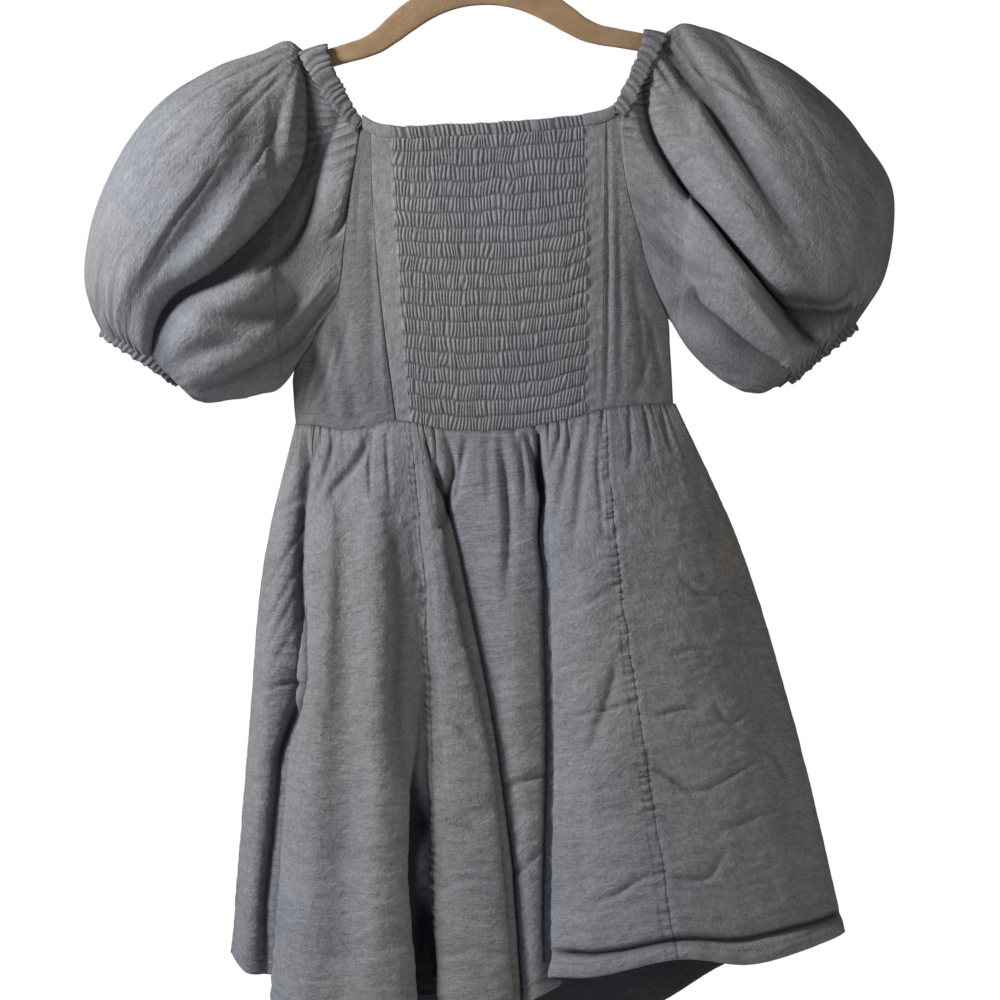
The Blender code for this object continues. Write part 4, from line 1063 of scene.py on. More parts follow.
# folds of the sleeve's front, as folded() reads them: the deep fold first, then soft troughs and
# ridges, and last the fine drag lines that run out of the gathers
SLEEVE_FOLDS = {
    "left": [
        (
            [
                (-113.5, 112, 6), (-112.5, 143, 13), (-114, 172, 19), (-119, 187, 24), (-129, 204, 28),
                (-143, 223, 31), (-157, 238, 33), (-170, 250, 33), (-183, 258, 33), (-194, 264, 32),
                (-203, 273, 29), (-209, 286, 23), (-212, 303, 15), (-213, 320, 7),
            ],
            5.0, 16.5, 5.5,
        ),
        (
            [
                (-88.1, 141, 2.5), (-93.3, 156.6, 5.5), (-99.7, 173, 8), (-104.2, 191, 10),
                (-107.4, 207, 11), (-113.9, 225, 9), (-124, 240, 6), (-140, 254, 3),
            ],
            6.0, 4.0, -2.5,
        ),
        ([(-101.6, 158.5, 1), (-107.4, 169.5, 3), (-111.3, 184.3, 3), (-117, 200, 2)], 2.2, 3.0, 1.2),
        ([(-79.5, 180, 1), (-84.2, 206.8, 3.5), (-90, 224, 3.5), (-96.5, 232, 1)], 2.6, 2.6, 0),
        (
            [
                (-150, 140, 1.0), (-152, 180, 4.5), (-167, 205, 7), (-184, 230, 9), (-203, 254, 10),
                (-217, 274, 9), (-226, 296, 5), (-228, 314, 2),
            ],
            9.0, 15.0, 0,
        ),
        ([(-137, 165, 0.5), (-150, 206, -3.5), (-167, 236, -3), (-180, 252, -1)], 9, 8, 0),
        ([(-118, 135, -0.5), (-122, 165, -2.2), (-131, 200, -2.0), (-140, 215, -0.5)], 6, 5, 0),
        ([(-178, 283, 1), (-152, 284, 5.5), (-130, 280, 5), (-112, 268, 1.5)], 9, 8, 0),
        ([(-197, 316, 3), (-178, 305, 6), (-160, 300, 4), (-146, 298, 1)], 8, 7, 0),
        ([(-88, 238, 0.5), (-101, 262, -2.4), (-127, 286, -3.4), (-158, 308, -3), (-184, 316, -1)], 7, 7, 0),
        ([(-90, 256, 0.6), (-104, 280, 2.6), (-128, 304, 3.4), (-154, 320, 3), (-176, 328, 1.4)], 5, 6, 0),
        ([(-91, 262, 0.3), (-104, 288, 1.0), (-122, 308, 0.3)], 1.4, 1.4, 0),
        ([(-93, 268, 0.3), (-112, 292, 0.9), (-140, 314, 0.3)], 1.3, 1.3, 0),
        ([(-98, 262, 0.3), (-122, 292, 0.9), (-150, 318, 0.8), (-178, 330, 0.3)], 1.5, 1.5, 0),
        ([(-95, 258, 0.2), (-118, 282, -0.8), (-146, 305, -0.7), (-170, 318, -0.2)], 2.0, 2.0, 0),
        ([(-102, 296, 0.3), (-118, 312, 1.0), (-136, 322, 0.3)], 1.5, 1.5, 0),
        ([(-117, 112, 0.7), (-126, 138, 1.2), (-137, 172, 1.1), (-150, 196, 0.3)], 1.3, 1.5, 0),
        ([(-118, 114, 0.6), (-141, 141, 1.2), (-160, 168, 0.9), (-176, 196, 0.3)], 1.4, 1.6, 0),
        ([(-120, 111, 0.8), (-144, 132, 1.3), (-164, 156, 0.8), (-184, 186, 0.3)], 1.3, 1.6, 0),
        ([(-123, 108, 0.9), (-150, 121, 1.5), (-176, 138, 1.0), (-202, 160, 0.3)], 1.5, 1.8, 0),
        ([(-130, 106, 0.9), (-160, 114, 1.7), (-184, 127, 1.2), (-204, 146, 0.3)], 1.6, 2.0, 0),
        ([(-150, 107, 1.0), (-172, 118, 1.8), (-192, 132, 0.6)], 1.7, 2.2, 0),
        ([(-116, 118, 0.6), (-119, 150, 1.2), (-127, 185, 0.9), (-137, 205, 0.2)], 1.3, 1.4, 0),
        ([(-120, 128, 0.3), (-131, 160, 1.1), (-146, 190, 1.0), (-158, 212, 0.4)], 1.3, 1.4, 0),
        ([(-160, 176, 0.3), (-175, 200, 1.3), (-196, 228, 1.3), (-214, 256, 0.4)], 1.3, 1.7, 0),
        ([(-166, 188, 0.3), (-188, 219, 1.1), (-206, 246, 0.9), (-216, 262, 0.3)], 1.1, 1.4, 0),
        ([(-176, 150, 0.2), (-196, 172, 0.7), (-214, 198, 0.2)], 2.5, 2.5, 0),
        ([(-236, 226, 0.2), (-243, 256, 1.6), (-247, 286, 1.0)], 2.2, 3.0, 0),
        ([(-228, 244, 0.2), (-234, 270, 1.2), (-236, 296, 1.0)], 1.6, 2.0, 0),
    ],
    "right": [
        (
            [
                (105, 124, 5), (108, 147, 11), (113, 163, 15), (121, 178, 18), (131, 193, 20),
                (141, 206, 21), (151, 219, 22), (161, 233, 22), (171, 246, 22), (181, 258, 22),
                (191, 270, 21), (200, 282, 19), (208, 291, 14), (215, 297, 6),
            ],
            5.0, 5.2, -4.5,
        ),
        (
            [
                (117, 104, 3), (124, 116, 5), (130.5, 127, 8), (139.5, 139, 11), (147.5, 151.5, 15),
                (154, 163, 16), (164, 180, 12), (178, 204, 6), (194, 230, 2),
            ],
            4.2, 10.0, 2.0,
        ),
        ([(129, 97, 1.6), (139, 118, 3.2), (147, 134, 2.6), (154, 148, 1)], 1.7, 2.2, 0),
        ([(125, 97, 1), (140, 122, 2.2), (156, 134, 2.6), (171, 145, 1.2), (182, 152, 0.3)], 1.6, 2.2, 0),
        ([(140, 92, 2), (158, 110, 5), (172, 132, 5), (184, 152, 3), (196, 170, 1)], 5, 9, 0),
        ([(150, 92, 0.6), (165, 110, 2), (176, 132, 1.6), (184, 150, 0.4)], 1.8, 2.2, 0),
        ([(116, 150, -0.5), (138, 180, -4), (162, 212, -4.5), (184, 240, -3), (200, 262, -1)], 8, 8, 0),
        ([(186, 262, 1), (200, 270, 6), (217, 275, 8), (232, 272, 5), (240, 262, 1)], 6, 5, 3.5),
        ([(186, 264, 3), (197, 274, 11), (212, 280, 15), (228, 281, 12), (240, 276, 4)], 10, 4, -1.5),
        ([(110, 228, 0.8), (124, 240, 4.2), (138, 252, 4.6), (151, 258, 1.2)], 6, 7, 0),
        ([(100, 205, 0.4), (112, 214, 1.6), (124, 212, 0.5)], 5, 5, 0),
        ([(126, 268, -0.5), (142, 262, -3), (158, 266, -2.5), (170, 276, -0.6)], 6, 6, 0),
        ([(136, 262, 1), (141, 272, 8), (156, 285, 9), (174, 300, 9), (192, 312, 4)], 15.0, 3.4, -1.5),
        ([(160, 260, -0.5), (176, 278, -3), (190, 294, -3), (198, 304, -0.6)], 4, 4, 0),
        ([(120, 290, 1), (140, 305, 4.5), (164, 317, 5), (186, 322, 2)], 7, 8, 0),
        ([(128, 312, 0.5), (148, 322, -1.6), (172, 330, -1.8), (190, 334, -0.5)], 4, 4, 0),
        ([(132, 312, 0.4), (156, 322, 1.4), (186, 328, 0.6)], 1.3, 1.3, 0),
        ([(136, 319, 0.5), (160, 330, 1.6), (188, 334, 0.7)], 1.3, 1.3, 0),
        ([(150, 320, 0.4), (168, 326, 1.3), (184, 331, 0.4)], 1.1, 1.1, 0),
        ([(104, 118, 0.6), (112, 130, 1.6), (120, 142, 0.4)], 1.6, 1.8, 0),
        ([(108, 112, 0.8), (118, 124, 2.2), (126, 138, 0.5)], 1.7, 2.0, 0),
        ([(112, 106, 1.0), (124, 120, 2.0), (132, 136, 0.5)], 1.6, 2.0, 0),
        ([(112, 100, 1.0), (126, 112, 2.0), (138, 130, 0.4)], 1.6, 2.0, 0),
        ([(234, 250, 0.3), (244, 266, 1.6), (248, 284, 0.8)], 2.2, 3.0, 0),
        ([(196, 150, 0.2), (212, 176, 0.8), (222, 204, 0.2)], 3.0, 3.0, 0),
    ],
}
# how many of the front's folds the back has too, where they lie beside them, and how much softer
FOLDS_BEHIND = 16
BACK_SHIFT = (5.0, -7.0)
BACK_SOFTER = 0.6
SHOULDER_PLEATS = 38
CUFF_PLEATS = 44


def armhole_ring(side, turn):
    """The edge that the sleeve is sewn by: over the shoulder, down the front armhole, up the back."""
    turn = np.mod(turn, 1.0)
    behind = turn > 0.5
    half = np.where(behind, 1 - turn, turn)
    free, sewn = shoulder_edges(side, 1 - half / SHOULDER_SHARE)
    sewn = sewn - unit(sewn - free) * 1.0
    fall = np.clip((half - SHOULDER_SHARE) / (0.5 - SHOULDER_SHARE), 0, 1)
    drop = blend(CORNER_DROP[side] + 2.0, UNDERARM_DROP[side] + 1.0, fall)
    x = edge_x(side, drop) + SIGN[side] * TOUCH
    hole = np.stack([x, -edge_depth(side, drop), -drop], axis=-1)
    near = ease((half - SHOULDER_SHARE + 0.015) / 0.03)[:, None]
    ring = blend(sewn, hole, near)
    return np.where(behind[:, None], mirrored(ring), ring)


def oval_rings(side, turn):
    """The sleeve's rings from its outline, as ovals whose ends are on the outline."""
    angle = 2 * math.pi * np.asarray(turn)
    rings = []
    for _, top_x, top_drop, low_x, low_drop, front, back in SLEEVE_RINGS[side]:
        middle = np.array([(top_x + low_x) / 2, 0.0, -(top_drop + low_drop) / 2])
        half = np.array([(top_x - low_x) / 2, 0.0, -(top_drop - low_drop) / 2])
        depth = np.where(np.sin(angle) > 0, front, back) * np.sin(angle)
        rings.append(middle + half * np.cos(angle)[:, None] - depth[:, None] * np.array([0.0, 1.0, 0.0]))
    return rings


def pleats(around, count, seed):
    """Gathers of uneven width, from -1 to 1, over a loop of 0 to 1."""
    wobble = 0.5 * np.sin(2 * math.pi * (3 * around + 0.13 * seed))
    wobble = wobble + 0.4 * np.sin(2 * math.pi * (7 * around + 0.29 * seed))
    return np.cos(2 * math.pi * count * around + 2.2 * wobble)


def sleeve(side):
    turns = np.arange(AROUND_SLEEVE) / AROUND_SLEEVE
    first = SLEEVE_RINGS[side][0][0]
    lengths = np.concatenate([np.linspace(0, first, ARMHOLE_ROWS), np.linspace(first, 1, OUTER_ROWS)[1:]])
    rings = np.array([armhole_ring(side, turns)] + oval_rings(side, turns))
    knots = [0.0] + list(column(SLEEVE_RINGS[side], 0))
    base = through(knots, rings, lengths)
    walked = np.concatenate([[0], np.cumsum(np.linalg.norm(np.diff(base, axis=0), axis=-1).mean(axis=1))])
    down, around = np.meshgrid(walked, turns * SLEEVE_GIRTH, indexing="ij")
    x, y, drop = base[..., 0], base[..., 1], -base[..., 2]
    share, half = lengths[:, None], np.abs(np.mod(turns + 0.5, 1.0) - 0.5)[None, :]

    front = folded(x, drop, SLEEVE_FOLDS[side])
    back = folded(x + BACK_SHIFT[0], drop + BACK_SHIFT[1], SLEEVE_FOLDS[side][:FOLDS_BEHIND])
    sunk, push_x, push_drop = (np.where(y < 0, f, BACK_SOFTER * k) for f, k in zip(front[:3], back[:3]))
    # painted shade in the sleeve's creases, softer behind
    painted_light = np.where(y < 0, front[3], blend(1.0, back[3], BACK_SOFTER))
    room = np.maximum(np.abs(y) - 2.5, 0.01)
    sunk = np.where(sunk > 0, room * np.tanh(sunk / room), sunk * ease(room / 8))
    near_edge = ease(np.abs(y) / 14) * ease(share / 0.03) * ease((1 - share) / 0.03)
    push_x, push_drop = push_x * near_edge, push_drop * near_edge

    seed = 61 if side == "left" else 67
    inward = unit(base.mean(axis=1, keepdims=True) - base)
    run = walked[:, None]
    reach = 14 + 13 * line_noise(turns * 90, 3.0, seed)[None, :]
    on_shoulder = ease((SHOULDER_SHARE + 0.06 - half) / 0.06)
    fine = 2.1 * np.exp(-run / np.maximum(reach, 3)) * (0.12 + 0.88 * on_shoulder) * ease(run / 2.5)
    fine = fine * pleats(turns, 2 * SHOULDER_PLEATS, seed)[None, :]
    to_cuff = (walked[-1] - walked)[:, None]
    reach = 12 + 10 * line_noise(turns * 80, 3.0, seed + 1, 3)[None, :]
    at_cuff = 1.5 * np.exp(-to_cuff / np.maximum(reach, 4))
    fine = fine + at_cuff * pleats(turns, CUFF_PLEATS, seed + 2)[None, :]
    slack = ease(share / 0.04) * ease((1 - share) / 0.04)
    long_lines = value_noise(turns[None, :] * 150, share * 5.0, 2.6, seed + 3)
    # painted shade in the valleys of the gathers
    gathered = np.clip(-fine, 0, 1.5)
    painted_light = painted_light * (1 - 0.45 * gathered)
    fine = fine + slack * (0.9 * rumple(around, down * 0.6, seed + 4) + 0.5 * long_lines)
    puffed = -1.6 * bell((to_cuff - 5.0) / 4.0)
    outer = base + inward * (fine + puffed)[..., None]
    outer = outer + np.stack([push_x, -np.sign(y) * sunk, -push_drop], axis=-1)
    inner = base + inward * (deepest(fine, closed=True) + puffed + CLOTH)[..., None]
    sunk_inside = np.minimum(deepest(sunk, closed=True), np.maximum(sunk, room))
    inner = inner + np.stack([push_x, -np.sign(y) * sunk_inside, -push_drop], axis=-1)
    tuck = 5.0 * np.exp(-to_cuff / 4.0)
    ending = unit(base[-1].mean(axis=0) - base[-12].mean(axis=0))
    outer, inner = (face + ending * tuck[..., None] for face in (outer, inner))
    if side == "left":
        outer, inner, painted_light = outer[:, ::-1], inner[:, ::-1], painted_light[:, ::-1]
    points, faces, at = shell(outer, inner, np.stack([around, down], axis=-1), closed=True, lengthways=True)
    wear_and_painted_light = shell_painted_light(points, painted_light)
    piece = made(f"puff_sleeve_{side}", points, faces, gauze, f"sleeve_{side}", at, wear_and_painted_light)


for side in ("left", "right"):
    sleeve(side)


# The cuffs are the same gauze folded over narrow elastic and drawn up hard, so each is a small
# ribbed ring that the sleeve puffs over.

CUFF_HALF_WIDTH = 4.4
CUFF_TUCK = 3.4
CUFF_RIBS = 40
CUFF_STATIONS = 600


def cuff(side):
    turns = np.arange(CUFF_STATIONS) / CUFF_STATIONS
    ring = oval_rings(side, turns)[-1]
    _, top_x, top_drop, low_x, low_drop, _, _ = SLEEVE_RINGS[side][-1]
    chord = unit(np.array([top_x - low_x, 0.0, low_drop - top_drop]))
    axis = np.array([chord[2], 0.0, -chord[0]])
    if axis[2] > 0:
        axis = -axis
    out = unit(ring - ring.mean(axis=0))
    centres = ring + axis * (SEAM + CUFF_HALF_WIDTH - CUFF_TUCK) - out * (CASING_THICK + 0.6)
    slant = 0.006 * np.cos(BAND_TURNS)[None, :]
    uneven = 0.75 + 0.25 * line_noise(turns * 60, 1.9, 73)
    relief = (0.5 + 0.5 * pleats(turns[:, None] + slant, CUFF_RIBS, 71)) * uneven[:, None]
    frill = 1.0 + 0.16 * pleats(turns, CUFF_RIBS // 2, 72) + 0.14 * line_noise(turns * 60, 3.1, 74)
    across = axis[None, :] * (CUFF_HALF_WIDTH * frill)[:, None]
    ribbed_band(
        f"cuff_binding_{side}", f"cuff_{side}", centres, across, out,
        relief, closed=True, wear_and_painted_light=CASINGS_PAINTED_SHADE,
    )


for side in ("left", "right"):
    cuff(side)


# The skirt is gathered on the waist seam and hangs in broad folds: three panels in front, joined
# by two long seams that the washing has puckered, and one behind. Its hem is turned up narrowly.

# the share of the skirt's length at each column of the table below
SKIRT_AT = (0.0, 0.24, 0.58, 1.0)
# lines that run down the cloth, in order round it from the left side seam: x at the waist, hip,
# knee and hem; y at the hip, knee and hem (the waist follows the bodice); drop of the hem
SKIRT_LINES = [
    ("side_left", -120, -139, -150, -162, 0, 0, 4, 695),
    ("set_back", -116, -129, -140, -152, -12, -12, -8, 705),
    ("tuck_a", -111, -107, -115, -126, -12, -9, -5, 709),
    ("edge_a", -107, -112, -122, -133, -24, -26, -34, 718),
    ("broad_left", -99, -96, -103, -110, -38, -44, -56, 727),
    ("broad_dip", -87, -86, -84, -86, -36.5, -43.5, -56, 729),
    ("broad_crown", -73, -67, -64, -64, -42, -48, -60, 730),
    ("broad_right", -60, -52, -46, -43, -36, -40, -52, 729),
    ("gap_edge", -54, -45, -41, -34.5, -31, -34, -38, 726),
    ("gap_floor", -49.5, -40.5, -35.5, -32, -29, -29, -24, 718),
    ("seam_1", -45, -36, -30.5, -29.5, -29.5, -31, -36, 724),
    ("narrow_crown", -39, -28, -13, -5, -33, -36, -45, 728),
    ("edge_b", -33, -20, 7, 22, -29, -31, -37, 726),
    ("tuck_b", -28, -24, 1, 15, -22, -23, -27, 722),
    ("middle_left", -18, -6, 14, 28, -23, -24, -29, 722),
    ("middle_crown", 8, 15, 26, 35, -26, -28, -32, 718),
    ("tuck_c", 36, 48, 52, 52, -20, -21, -23, 708),
    ("edge_c", 42, 44, 46, 44, -27, -29, -33, 704),
    ("right_crown", 55, 60, 66, 70, -39, -44, -52, 700),
    ("seam_2", 81, 86, 102, 124, -40, -46, -56, 688),
    ("right_wide", 104, 120, 145, 171, -32, -38, -46, 693),
    ("right_turn", 119, 147, 177, 211, -18, -22, -27, 686),
    ("side_right", 127, 165, 202, 237, 0, 0, 0, 680),
    ("back_1", 116, 145, 178, 211, 19, 24, 28, 690),
    ("back_2", 90, 110, 136, 162, 34, 42, 46, 710),
    ("back_3", 62, 76, 92, 106, 25, 25, 24, 736),
    ("back_4", 30, 36, 44, 52, 35, 45, 54, 742),
    ("back_5", 0, 0, 0, -2, 25, 24, 22, 738),
    ("back_6", -30, -36, -46, -56, 35, 45, 55, 738),
    ("back_7", -62, -71, -82, -92, 26, 26, 24, 728),
    ("back_8", -96, -107, -120, -130, 22, 28, 36, 714),
]
LINE_NAMES = [row[0] for row in SKIRT_LINES]
WAIST_HALF_WIDTH = 124.0
WAIST_HALF_DEPTH = 18.0
# lines with a crisp fold or a seam beside them
CRISP_LINES = ("edge_a", "gap_floor", "seam_1", "edge_b", "middle_left", "edge_c", "seam_2")
# the gap left at a skirt seam, as a share of the way round the cloth
SEAM_SHARE = 0.0002
FRONT_PLEATS = 34
BACK_PLEATS = 22
PLEAT_DEPTH = 1.7
# where a broad fold runs up smooth to the waist: its line, how far past it and its half width
SMOOTH_AT_WAIST = [("broad_right", -4.0, 19.0), ("seam_2", 16.0, 15.0), ("middle_crown", -8.0, 9.0)]
SKIRT_GIRTH = 900.0
SKIRT_LENGTH = 370.0
HEM_TURNED_UP = 9.0
# folds of the skirt's front, as folded() reads them: the panels' hanging edges, the pleats under
# the waist, and the cross creases of the crumpled cloth
SKIRT_FOLDS = [
    (
        [
            (-113, 358, 2), (-111, 380, 3), (-112.5, 412, 4), (-113.5, 450, 4), (-112, 490, 4),
            (-112, 516, 4), (-119, 541, 4), (-126, 565, 5), (-129, 590, 5), (-132, 620, 5), (-136, 655, 5),
            (-137, 720, 4),
        ],
        5, 3, -2.0,
    ),
    (
        [
            (-37, 520, 0.5), (-38, 550, 2), (-38.5, 575, 5), (-38, 592, 10), (-37.5, 606, 16),
            (-38.5, 625, 19), (-38, 645, 18), (-36, 668, 16), (-33.5, 700, 12), (-32, 728, 8),
        ],
        4.5, 3.4, 2.0,
    ),
    (
        [
            (-35, 362, 3), (-30, 380, 5), (-23, 402, 5), (-15.5, 430, 4), (-9.5, 460, 4), (-3.5, 488, 4),
            (2.5, 518, 4), (8.5, 552, 4), (14, 592, 4), (18.5, 628, 5), (21.5, 668, 5), (25, 722, 5),
        ],
        2.4, 3.0, 2.2,
    ),
    (
        [
            (38, 358, 5), (39, 380, 8), (41, 400, 8), (40, 425, 6), (42.5, 446, 4), (43, 485, 3.5),
            (44.5, 520, 3.5), (45, 565, 4), (44, 610, 4), (43, 660, 4), (43, 692, 3),
        ],
        2.6, 2.4, -2.0,
    ),
    ([(-71, 357, 2), (-76, 368, 4), (-84, 380, 3.6), (-94, 393, 2), (-101, 404, 0.5)], 2.2, 3.6, 0),
    ([(-70, 360, 1), (-71, 376, 2.2), (-70, 398, 0.8)], 1.4, 1.8, 0),
    ([(-86, 470, 0.5), (-90, 530, 1.8), (-89, 610, 1.8), (-88, 690, 1)], 13, 13, 0),
    ([(-64, 430, -0.3), (-64, 500, -1.6), (-62, 580, -1.8), (-62, 690, -1)], 10, 10, 0),
    ([(-56, 400, 1), (-52, 440, 2.6), (-50, 480, 3), (-51, 530, 2.6), (-48, 570, 1)], 6, 5, 0),
    ([(-94, 360, 1.5), (-99, 380, 2.2), (-106, 398, 0.8)], 1.8, 2.4, 0),
    ([(-104, 360, 1.2), (-108, 372, 1.8), (-112, 384, 0.6)], 1.6, 1.8, 0),
    ([(-120, 360, 1), (-124, 378, 1.8), (-128, 390, 0.8)], 1.8, 1.8, 0),
    ([(-60, 358, 1), (-59, 376, 1.8), (-57, 398, 0.5)], 1.6, 2.0, 0),
    ([(-20, 362, 2), (-17, 378, 4.5), (-21, 398, 5), (-24, 416, 2)], 3.2, 2.2, 0),
    ([(-9, 362, 1.4), (-13, 380, 3), (-16, 398, 1.6)], 2.2, 2.2, 0),
    ([(13, 362, 1.8), (16, 386, 4), (18, 420, 3.6), (16, 462, 1)], 2.4, 4, 0),
    ([(26, 362, 2), (28, 380, 2.6), (29, 402, 1)], 1.8, 2.0, 0),
    ([(31, 360, 3), (35, 374, 4.5), (39, 392, 3)], 2.6, 2.2, 0),
    ([(4, 362, 1), (5, 380, 1.8), (5, 402, 0.6)], 1.6, 1.8, 0),
    ([(60, 352, 1.2), (56, 370, 2.6), (52, 392, 2), (47, 412, 0.6)], 2.2, 3, 0),
    ([(70, 350, 1), (66, 372, 2.2), (62, 402, 2.4), (56, 432, 1)], 3, 4, 0),
    ([(52, 352, 1.4), (49, 366, 2), (45, 380, 0.6)], 1.8, 1.8, 0),
    ([(96, 346, 1), (97, 362, 1.6), (96, 380, 0.4)], 1.6, 1.8, 0),
    ([(107, 344, 1), (109, 358, 1.6), (110, 372, 0.4)], 1.6, 1.8, 0),
    ([(118, 344, 1.2), (120, 356, 1.6), (124, 368, 0.5)], 1.6, 1.6, 0),
    ([(77, 350, 0.8), (76, 380, 1.4), (78, 420, 0.8)], 1.8, 1.8, 0),
    ([(-111, 414, 0.5), (-124, 434, 1.2), (-140, 458, 0.5)], 1.2, 1.5, 0),
    ([(-112, 436, 0.4), (-128, 462, 1.1), (-142, 488, 0.4)], 1.3, 1.6, 0),
    ([(-114, 452, 0.4), (-126, 474, 1.0), (-140, 500, 0.3)], 1.2, 1.4, 0),
    ([(-112, 470, 0.3), (-124, 490, 0.8), (-136, 512, 0.3)], 1.2, 1.4, 0),
    ([(-112, 516, 1.2), (-124, 518, 1.6), (-138, 522, 0.4)], 2.0, 2.2, 0),
    ([(-114, 530, 0.8), (-122, 548, 2.2), (-132, 570, 1)], 3.2, 4, 0),
    ([(-118, 400, 1.4), (-128, 404, 1.8), (-138, 408, 0.4)], 1.8, 2.2, 0),
    ([(112, 537, 0.7), (124, 533, 2.3), (141, 532, 0.7)], 1.4, 2.5, 0),
    ([(90, 569, 0.5), (110, 571, 1.7), (124, 578, 3), (134, 584, 3.2), (147, 583, 0.7)], 1.6, 2.7, 0),
    ([(146, 582, 0.6), (162, 574, 1.8), (178, 566, 0.5)], 1.8, 2.5, 0),
    ([(68, 655, 0.6), (84, 649, 2.2), (102, 638, 2.2), (118, 633, 0.6)], 1.6, 2.5, 0),
    ([(114, 634, 0.7), (130, 639, 2.4), (144, 638, 1.7), (156, 622, 0.6)], 2.1, 3.2, 0),
    ([(150, 532, 0.5), (161, 542, 1.7), (172, 534, 0.5)], 1.9, 2.5, 0),
    ([(86, 500, 0.5), (82, 520, 1.9), (74, 542, 1.7), (68, 560, 0.5)], 2.4, 3.6, 0),
    ([(64, 536, 0.5), (82, 532, 1.6), (100, 527, 0.5)], 1.3, 2.1, 0),
    ([(60, 468, 0.4), (74, 462, 1.4), (90, 452, 0.4)], 1.6, 2.5, 0),
    ([(130, 452, 0.4), (142, 460, 1.4), (158, 458, 0.4)], 1.8, 2.5, 0),
    ([(120, 500, 0.4), (136, 494, 1.2), (150, 496, 0.4)], 1.6, 2.3, 0),
    ([(150, 610, 0.4), (168, 604, 1.4), (188, 598, 0.5)], 1.9, 2.5, 0),
    ([(176, 556, 0.4), (190, 566, 1.4), (199, 582, 0.5)], 1.9, 2.5, 0),
    ([(70, 600, 0.4), (84, 594, 1.2), (98, 596, 0.4)], 1.4, 2.3, 0),
    ([(14, 584, 1.4), (28, 580, 3), (42, 576, 1.2)], 1.3, 3.4, 0),
    ([(20, 640, 0.7), (32, 632, 1.9), (44, 620, 0.5)], 1.6, 3.2, 0),
    ([(-26, 604, 0.5), (-10, 608, 1.6), (6, 614, 0.5)], 1.9, 3.4, 0),
    ([(-24, 646, 0.4), (-6, 640, 1.4), (12, 642, 0.4)], 1.9, 2.7, 0),
    ([(-24, 540, 0.4), (-12, 546, 1.7), (0, 556, 0.5)], 1.8, 2.5, 0),
    ([(-24, 690, 0.4), (-4, 684, 1.2), (16, 688, 0.4)], 1.9, 2.7, 0),
]


def skirt_net(falls):
    """Points on every line of the table at the given shares of the skirt's length."""
    net = []
    for name, waist, hip, knee, hem, y_hip, y_knee, y_hem, hem_drop in SKIRT_LINES:
        face = 1.0 if name.startswith("back") else -1.0
        top = float(waist_drop(np.array([waist]), face)[0]) + TOUCH
        depth = float(bodice_depth(np.array([waist]), np.array([top - 1.0]))[0])
        y_waist = 0.0 if name.startswith("side") else face * depth
        x = through(SKIRT_AT, (waist, hip, knee, hem), falls)
        y = through(SKIRT_AT, (y_waist, y_hip, y_knee, y_hem), falls)
        net.append(np.stack([x, y, -blend(top, hem_drop, falls)], axis=-1))
    return np.array(net)


def line_places():
    """Where each line lies round the cloth, from 0 to 1, by the cloth's width at the knee and hem."""
    net = skirt_net(np.array([0.35, 0.7, 1.0]))
    steps = np.linalg.norm(np.roll(net, -1, axis=0) - net, axis=-1).mean(axis=1)
    return np.concatenate([[0], np.cumsum(steps)[:-1]]) / steps.sum()


PLACES = line_places()


def place_of(line):
    return PLACES[LINE_NAMES.index(line)]


def skirt_base(around, falls):
    """The skirt's broad folds at places round the cloth and shares of its length."""
    wrap = 3
    knots = np.concatenate([PLACES[-wrap:] - 1, PLACES, PLACES[:wrap] + 1])
    net = skirt_net(np.clip(falls, 0, 1))
    net = np.concatenate([net[-wrap:], net, net[:wrap]])
    return through(knots, net, np.mod(around, 1.0)).transpose(1, 0, 2)


def skirt_normals(around, falls):
    step = 1e-3
    right = skirt_base(around + step, falls) - skirt_base(around - step, falls)
    low = skirt_base(around, falls + step) - skirt_base(around, falls - step)
    return unit(np.cross(low, right))


def waist_gathers(around, falls):
    """The gathers under the waist seam: narrow valleys between full crowns, uneven in width, depth
    and how far down they run. Positive on the crowns."""
    turn = place_of("side_right")
    front = around < turn
    share = np.where(front, around / turn, (around - turn) / (1 - turn))
    count = np.where(front, FRONT_PLEATS, BACK_PLEATS)
    wobble = 0.9 * line_noise(share * 30, 2.2, 81) + 0.5 * line_noise(share * 60, 1.7, 82)
    lean = 0.9 * line_noise(share * 24, 1.5, 80, 2)[None, :] * falls[:, None] / 0.06
    beside = np.abs(np.sin(math.pi * count * share + 1.3 * wobble + lean))
    reach = 0.055 + 0.05 * line_noise(share * 40, 1.9, 83, 5)
    fade = np.exp(-((falls[:, None] / np.maximum(reach, 0.018)[None, :]) ** 1.2))
    deep = (0.55 + 0.75 * line_noise(share * 50, 1.6, 84, 8)).clip(0.05)
    for line, aside, smooth in SMOOTH_AT_WAIST:
        deep = deep * (1 - 0.85 * bell(((around - place_of(line)) * SKIRT_GIRTH - aside) / smooth))
    return PLEAT_DEPTH * (0.5 - 1.5 * bell(beside / 0.36)) * deep * fade


